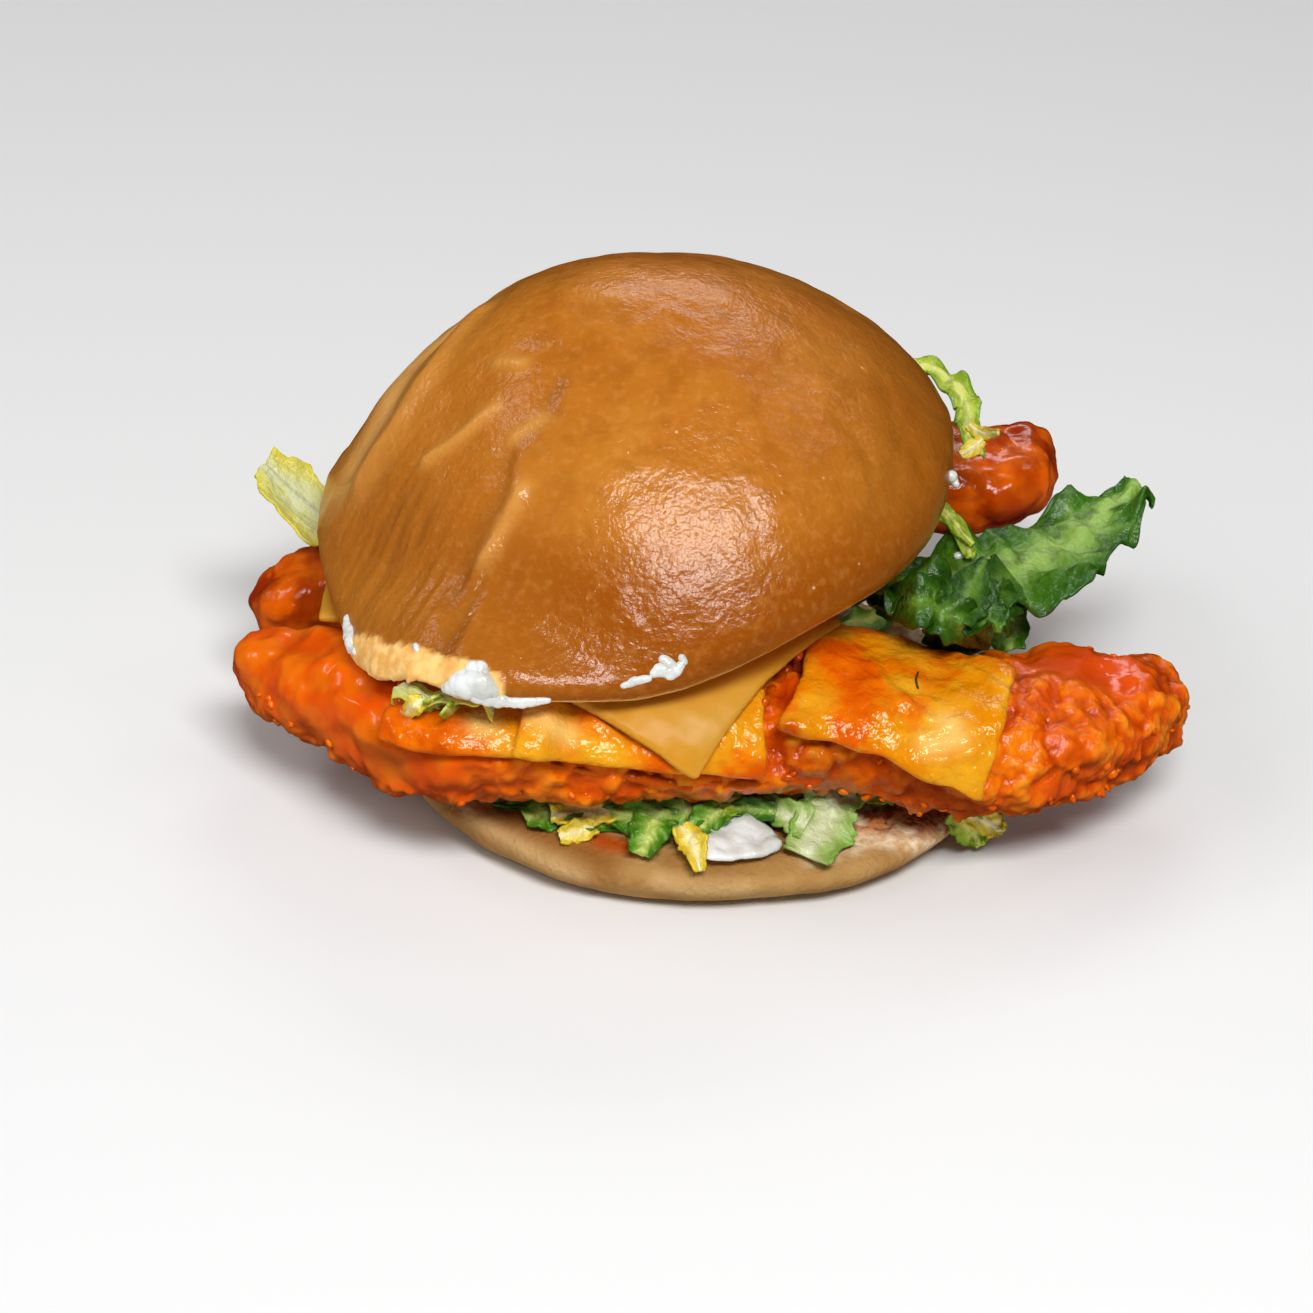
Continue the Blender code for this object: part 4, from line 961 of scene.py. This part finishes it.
leaf_like("leaf_right", "lettuce_leaf_right", "romaine", romaine,
          ((23.7, -4, 40), (36.7, -6, 39), (48.7, 0, 38), (60.7, 10, 38), (71.7, 25, 39), (80.7, 36, 41)),
          (6, 10.5, 13, 12, 8, 3.5), (150, 80), 1.5, 6.0, 1.0, 9.0)
leaf_like("leaf_inner", "lettuce_leaf_inner", "romaine", shaded_romaine,
          ((27.7, -8, 42), (36.7, -12, 43), (44.7, -17, 43), (50.7, -23, 41)),
          (6, 9, 8, 3), (100, 70), 1.6, 3.6, 5.0, 6.0)
leaf_like("leaf_left", "lettuce_leaf_left", "pale_lettuce", pale_body,
          ((-56.3, 18, 31), (-63.3, 21, 31), (-70.3, 24, 31), (-77.3, 28, 34), (-82.3, 31, 38)),
          (4.5, 8.5, 9.5, 7.5, 2.6), (90, 60), 0.7, 1.4, 1.0, 2.0)
leaf_like("shred_back", "lettuce_shred_back", "pale_lettuce", spring,
          ((21.7, 64, 47), (33.7, 69, 48), (43.7, 66, 48), (48.7, 57, 46), (48.7, 47, 45), (50.7, 40, 44)),
          (2.5, 3.2, 3.4, 2.6, 2.2, 1.2), (130, 26), 1.0, 7.0, 4.0, 7.0)
leaf_like("shred_right", "lettuce_shred_right", "pale_lettuce", spring,
          ((36.7, 26, 43), (41.7, 20, 42), (45.7, 12, 41), (47.7, 5, 40)),
          (2, 2.2, 1.8, 0.8), (50, 16), 0.4, 2.2, 6.0, 4.0)
leaf_like("bits_front", "lettuce_bits_front", "pale_lettuce", pale_body,
          ((-50.8, -44, 29), (-45.8, -47, 29), (-39.8, -48.5, 29), (-34.3, -49, 29)),
          (1.2, 1.8, 1.7, 0.9), (70, 24), 0.5, 1.6, 3.0, 3.0)

# Small lobes of the leaves that stand up or hang, and loose bits: the lettuce solid that they lie on, the
# pixels along them, how far each end stands off towards the eye in mm, half widths in mm, and frill.
leaf_lobes = (
    ("upright", shaded_romaine, "leaf_inner", ((956, 620), (968, 592), (984, 560)),
     (2.0, 3.0), (3.0, 4.2, 0.4), 0.4),
    ("inner_low", shaded_romaine, "leaf_inner", ((946, 612), (952, 634), (962, 658)),
     (2.2, 2.4), (4.6, 5.4, 3.0), 1.4),
    ("right_low", romaine, "leaf_right", ((985, 600), (1002, 625), (1010, 650)),
     (2.0, 2.0), (5.6, 5.0, 2.0), 1.4),
    ("inner_left", shaded_romaine, "leaf_inner", ((950, 598), (915, 602), (876, 604)),
     (2.0, 2.4), (3.8, 4.6, 1.8), 1.0),
    ("inner_gap", shaded_romaine, "leaf_inner", ((930, 608), (960, 622), (992, 636)),
     (1.0, 1.0), (3.4, 4.2, 2.6), 1.2),
    ("middle_low", shaded_romaine, "leaf_right", ((1010, 575), (985, 600), (970, 625)),
     (2.0, 2.2), (5.0, 5.6, 2.6), 1.5),
    ("back_bit", heart, "shred_back", ((968, 425), (982, 434), (998, 433)),
     (1.2, 1.4), (0.9, 1.2, 0.6), 0.3),
    ("back_curl", heart, "shred_back", ((982, 440), (972, 448), (960, 455)),
     (1.0, 1.0), (0.9, 1.6, 0.8), 0.4),
    ("thin_right", spring, "shred_right", ((942, 508), (955, 525), (972, 545)),
     (0.8, 1.4), (1.2, 1.3, 0.5), 0.3),
    ("bits_left", heart, "bits_front", ((424, 700), (414, 706), (407, 716)),
     (1.2, 1.8), (1.0, 1.7, 0.8), 0.4),
    ("bits_middle", spring, "bits_front", ((432, 698), (440, 708), (452, 720)),
     (2.2, 2.8), (1.5, 2.4, 1.2), 0.7),
    ("bits_right", spring, "bits_front", ((446, 708), (458, 714), (472, 716)),
     (2.0, 2.2), (1.4, 1.7, 0.7), 0.5),
)
for number, (name, finish, leaf, pixels, heights, widths, frill) in enumerate(leaf_lobes):
    spine = spine_over(tree_of(solids["lettuce_" + leaf]), pixels, heights)
    ups = [toward_eye] * 3
    lobe = leaf_piece("lobe_" + name, spine, ups, widths, (34, 20), frill, 1.6, 4.7 * number, veins=3.0)
    finish.on(lobe)
    stands_for(lobe, lettuce_slot(finish))


# Bun crown
# The upper half of the bun, egg-washed and baked to a glossy brown. It has been pressed and has slid to
# the left, so its soft skin is creased there, and its cut edge shows pale and dry at the left front.

crown = fine_copy("crown_bread", "bun_crown", 0.9, 9)
crown_points, crown_normals = points_of(crown)
crown_tree = tree_of(crown)


def crown_stroke(pixels, width):
    """A brush stroke on the crown, as wide as told in mm."""
    return stroke(crown_points, crown_tree, pixels, width)


fold = ((478, 314), (430, 372), (395, 425), (362, 480))
flank = ((455, 315), (410, 365), (378, 415), (352, 460))
upper_flank = ((470, 290), (430, 325), (395, 370))
long_crease = ((561, 385), (540, 425), (512, 452), (503, 495), (468, 565), (452, 600))
beside_crease = [(x + 11, y - 3) for x, y in long_crease]
streaks = (((426, 460), (460, 436), (494, 408)), ((515, 438), (541, 420)), ((498, 362), (522, 363)),
           ((524, 488), (506, 522), (484, 560)))
top_crease = ((645, 322), (668, 308), (692, 318))
top_hollow = [(x, y - 6) for x, y in top_crease]
faint_creases = (((742, 372), (780, 380), (812, 386)), ((838, 418), (862, 440), (881, 517)),
                 ((600, 345), (560, 352), (520, 350)), ((905, 430), (922, 470)),
                 ((884, 380), (900, 440), (890, 520)))
broken = 0.6 + 0.9 * lumps(crown_points, 9.0, 2, 12.0)
pressed = 1.1 * crown_stroke(fold, 3.2) - 1.3 * crown_stroke(flank, 6.0)
pressed += broken * (0.8 * crown_stroke(beside_crease, 2.0) - 0.45 * crown_stroke(long_crease, 1.6))
for path in streaks:
    pressed += broken * crown_stroke(path, 1.2)
pressed += 0.28 * crown_stroke(top_crease, 1.3) - 0.2 * crown_stroke(top_hollow, 1.8)
for path in faint_creases:
    pressed -= 0.3 * crown_stroke(path, 1.6)

# The squeezed skin at the left front falls in long, shallow, uneven wrinkles that run down to the rim. They
# fan out from a point under the crown, so many to the turn, and each is some 34 mm long.
fan_middle = (-13, 12)
wrinkles_round = 13
wrinkle_length = 34
squeezed_left = ((385, 500), (405, 570), (425, 640))
squeezed_front = ((480, 560), (470, 640))
turn = numpy.arctan2(crown_points[:, 1] - fan_middle[1], crown_points[:, 0] - fan_middle[0])
down = crown_points[:, 2] / wrinkle_length
across, along = wrinkles_round * numpy.cos(turn), wrinkles_round * numpy.sin(turn)
wrinkles = lumps(numpy.column_stack([across, along, down]), 1.0, 3, 6.0)
squeezed = crown_stroke(squeezed_left, 13.0) + 0.4 * crown_stroke(squeezed_front, 8.0)
pressed -= 0.75 * squeezed * numpy.abs(wrinkles) ** 0.8

# Above the rim the skin bulges a little, with one blister, and the cut edge is puffed and rough.
skin = step(0.0, 6.0, crown_points[:, 2] - 38) * step(-0.2, 0.2, crown_normals[:, 2])
pressed += 0.4 * lumps(crown_points, 15.0, 3, 3.0) * skin
blister = ((636, 626), (637, 627))
pressed += 0.5 * crown_stroke(blister, 1.1)
cut_rim = ((344, 634), (350, 648), (368, 664), (392, 673), (418, 675), (446, 685), (474, 692))
rim = step(0.3, 0.42, crown_stroke(cut_rim, 4.6) + 0.12 * lumps(crown_points, 3.0, 2, 8.0))
pressed += 0.5 * rim + 0.25 * rim * lumps(crown_points, 2.5, 2, 9.0)
pushed_out(crown, pressed)

painted(crown, "rim", rim)
# The flank's crust is paler, and it is painted lighter still, as painted light in the shade that it lies in.
painted(crown, "flank", crown_stroke(flank, 7.0) + crown_stroke(upper_flank, 6.0))
# Painted highlights along the fold and the streaks.
ridge_highlights = 0.6 * crown_stroke(fold, 5.0)
for path in streaks:
    ridge_highlights += crown_stroke(path, 1.8)
painted(crown, "ridge_highlights", ridge_highlights)
# Painted shade on the surfaces that face down.
painted(crown, "low", step(0.25, -0.35, crown_normals[:, 2]))
painted(crown, "cut", step(-0.5, -0.75, crown_normals[:, 2]))
# Painted shade in the wrinkles and along the long crease.
painted(crown, "crease_shade", 1.1 * squeezed * numpy.abs(wrinkles) + 0.5 * crown_stroke(long_crease, 2.0))
# Painted light: the left side is painted a lighter brown, as lit from the left.
painted(crown, "left", step(-20, -60, crown_points[:, 0] + 0.3 * crown_points[:, 1]))
painted(crown, "right", step(14, 42, crown_points[:, 0]))
painted(crown, "belly", step(0.0, -0.6, crown_normals[:, 1]) * step(66, 54, crown_points[:, 2]))

glaze = Finish("bun_glaze", {"Specular IOR Level": 0.2, "Specular Tint": tone(255, 200, 120),
                             "Coat Roughness": 0.17, "Coat IOR": 1.5})
brown = glaze.blend(glaze.patches(24.0, 0.3, 0.7), tone(188, 116, 34), tone(174, 98, 20))
brown = glaze.tint(brown, glaze.mask("belly"), 0.95, tone(144, 68, 0))
brown = glaze.tint(brown, glaze.patches(5.0, 0.42, 0.68, 5.0), 0.4, tone(150, 82, 12))
brown = glaze.tint(brown, glaze.patches(1.6, 0.45, 0.75, 4.0), 0.22, tone(214, 150, 74))
# Painted light on the left side.
brown = glaze.tint(brown, glaze.mask("left"), 0.4, tone(196, 122, 36))
brown = glaze.tint(brown, glaze.mask("right"), 0.7, tone(142, 78, 8))
# Painted shade where the crown faces down.
brown = glaze.tint(brown, glaze.mask("low"), 0.45, tone(146, 78, 14))
# Painted shade in the creases.
brown = glaze.tint(brown, glaze.mask("crease_shade"), 0.7, tone(128, 70, 18))
# Painted highlights on the ridges.
brown = glaze.tint(brown, glaze.mask("ridge_highlights"), 0.5, tone(226, 162, 78))
# Paler crust on the flank, with painted light over it.
brown = glaze.tint(brown, glaze.mask("flank"), 1.0, tone(232, 168, 88))
brown = glaze.tint(brown, glaze.specks(3.4, 0.13, 0.2), 0.8, tone(238, 196, 142))
brown = glaze.tint(brown, glaze.specks(6.0, 0.08, 0.2), 0.8, tone(110, 54, 12))
crumb = glaze.blend(glaze.patches(2.4, 0.35, 0.65), tone(236, 174, 92), tone(250, 204, 128))
bare = glaze.sums("MAXIMUM", glaze.mask("rim"), glaze.mask("cut"))
brown = glaze.blend(bare, brown, crumb)
glaze.feed(glaze.shader, {"Base Color": brown, "Coat Weight": glaze.range(bare, 0.55, 0.0),
                          "Roughness": glaze.range(bare, 0.45, 0.8)})
glaze.raise_by(glaze.patches(1.0, 0.25, 0.75, 3.0), 0.07)
glaze.raise_by(glaze.patches(4.5, 0.2, 0.8, 3.0, 0.35), 0.12)
glaze.raise_by(glaze.specks(2.6, 0.2, 0.2), 0.12)
glaze.on(crown)
stands_for(crown, "bun_glaze", "bun_crown")


# Mayonnaise under the crown
# Spread on the crown's cut face, it has been squeezed out round the rim in dollops, threads and smears.

mayo_layer = fine_copy("mayo_spread", "mayo_crown", 0.5, 5)
mayo_finish.on(mayo_layer)
stands_for(mayo_layer, "mayonnaise", "mayo_crown")

# Each dollop: pixels along it, and the balls' radii in mm. The thread hangs a little below the rim.
thread_drop = 0.9
finished_crown = tree_of(crown)
dollops = (
    ("corner", ((446, 688), (458, 684), (470, 682), (482, 684), (492, 690)), (1.0, 1.8, 2.6, 2.4, 1.4)),
    ("peak", ((472, 680), (478, 672), (484, 668)), (2.0, 1.6, 0.8)),
    ("corner_top", ((472, 670), (484, 674)), (1.5, 1.2)),
    ("thread", ((478, 690), (502, 695), (526, 696), (549, 695)), (1.7, 1.2, 1.0, 0.6)),
    ("left", ((347, 618), (350, 632), (352, 646), (356, 654)), (0.7, 1.4, 1.1, 0.6)),
    ("left_bead", ((416, 646), (417, 650)), (0.55, 0.5)),
    ("front", ((654, 674), (662, 670), (674, 672), (682, 664)), (0.9, 1.5, 1.4, 0.8)),
    ("front_peak", ((662, 659), (669, 664), (674, 670)), (0.7, 1.1, 1.2)),
    ("front_bead", ((681, 657), (684, 662)), (0.6, 0.7)),
    ("front_smear", ((622, 686), (634, 682), (648, 678)), (0.6, 0.9, 0.8)),
    ("right_smear", ((828, 620), (838, 616), (850, 610)), (0.4, 0.7, 0.5)),
    ("right_edge", ((950, 476), (956, 484)), (1.0, 0.8)),
    ("far_edge", ((958, 556), (970, 554)), (0.8, 1.0)),
)
for name, pixels, radii in dollops:
    drop = thread_drop if name == "thread" else 0.0
    dollop = beads("mayo_" + name, bead_path(finished_crown, pixels, radii, -0.5, drop, len(name)), 0.2, 9)
    points, _ = points_of(dollop)
    pushed_out(dollop, 0.3 * lumps(points, 3.0, 1, 3.0))
    mayo_finish.on(dollop)
    stands_for(dollop, "mayonnaise")


# Floor and light
# A plain white table top under one large soft window light from the front, a second from behind, two
# small ones that glint at the sides and a soft fill from the left. The fill, the table and the sky are left
# out of the gloss, so that the wet food keeps its own colour.

def area_light(name, azimuth, elevation, distance, size, power):
    """A soft light aimed at the burger; azimuth 0 is the camera's side and 90 is +X."""
    a, e = math.radians(azimuth), math.radians(elevation)
    toward = Vector((math.sin(a) * math.cos(e), -math.cos(a) * math.cos(e), math.sin(e)))
    data = bpy.data.lights.new(name, "AREA")
    data.shape = "RECTANGLE"
    data.size, data.size_y = size
    data.energy = power
    light = bpy.data.objects.new(name, data)
    light.location = Vector((0, 0, 0.04)) + toward * distance
    light.rotation_mode = "QUATERNION"
    light.rotation_quaternion = toward.to_track_quat("Z", "Y")
    scene.collection.objects.link(light)
    return light


area_light("window", 14.0, 52.0, 1.1, (0.56, 0.3), 11.0)
area_light("back_window", 172.0, 40.0, 1.3, (0.6, 0.25), 2.4)
area_light("left_glint", -102.0, 42.0, 1.1, (0.3, 0.15), 1.0)
area_light("right_glint", 118.0, 50.0, 1.1, (0.2, 0.12), 0.35)
soft_fill = area_light("left_fill", -70.0, 38.0, 1.4, (1.0, 0.8), 4.6)
soft_fill.visible_glossy = False

studio = bpy.data.worlds.new("studio")
studio.use_nodes = True
studio.node_tree.nodes["Background"].inputs["Color"].default_value = (1.0, 1.0, 1.0, 1.0)
studio.node_tree.nodes["Background"].inputs["Strength"].default_value = 0.16
studio.cycles_visibility.glossy = False
scene.world = studio

bpy.ops.mesh.primitive_plane_add(size=6.0, location=(0.0, 0.0, 0.0))
table_top = bpy.context.object
table_top.name = "table_top"
table_paint = Finish("table_paint", {"Base Color": (0.8, 0.8, 0.8, 1.0), "Roughness": 0.9})
table_paint.on(table_top)
table_top.visible_glossy = False
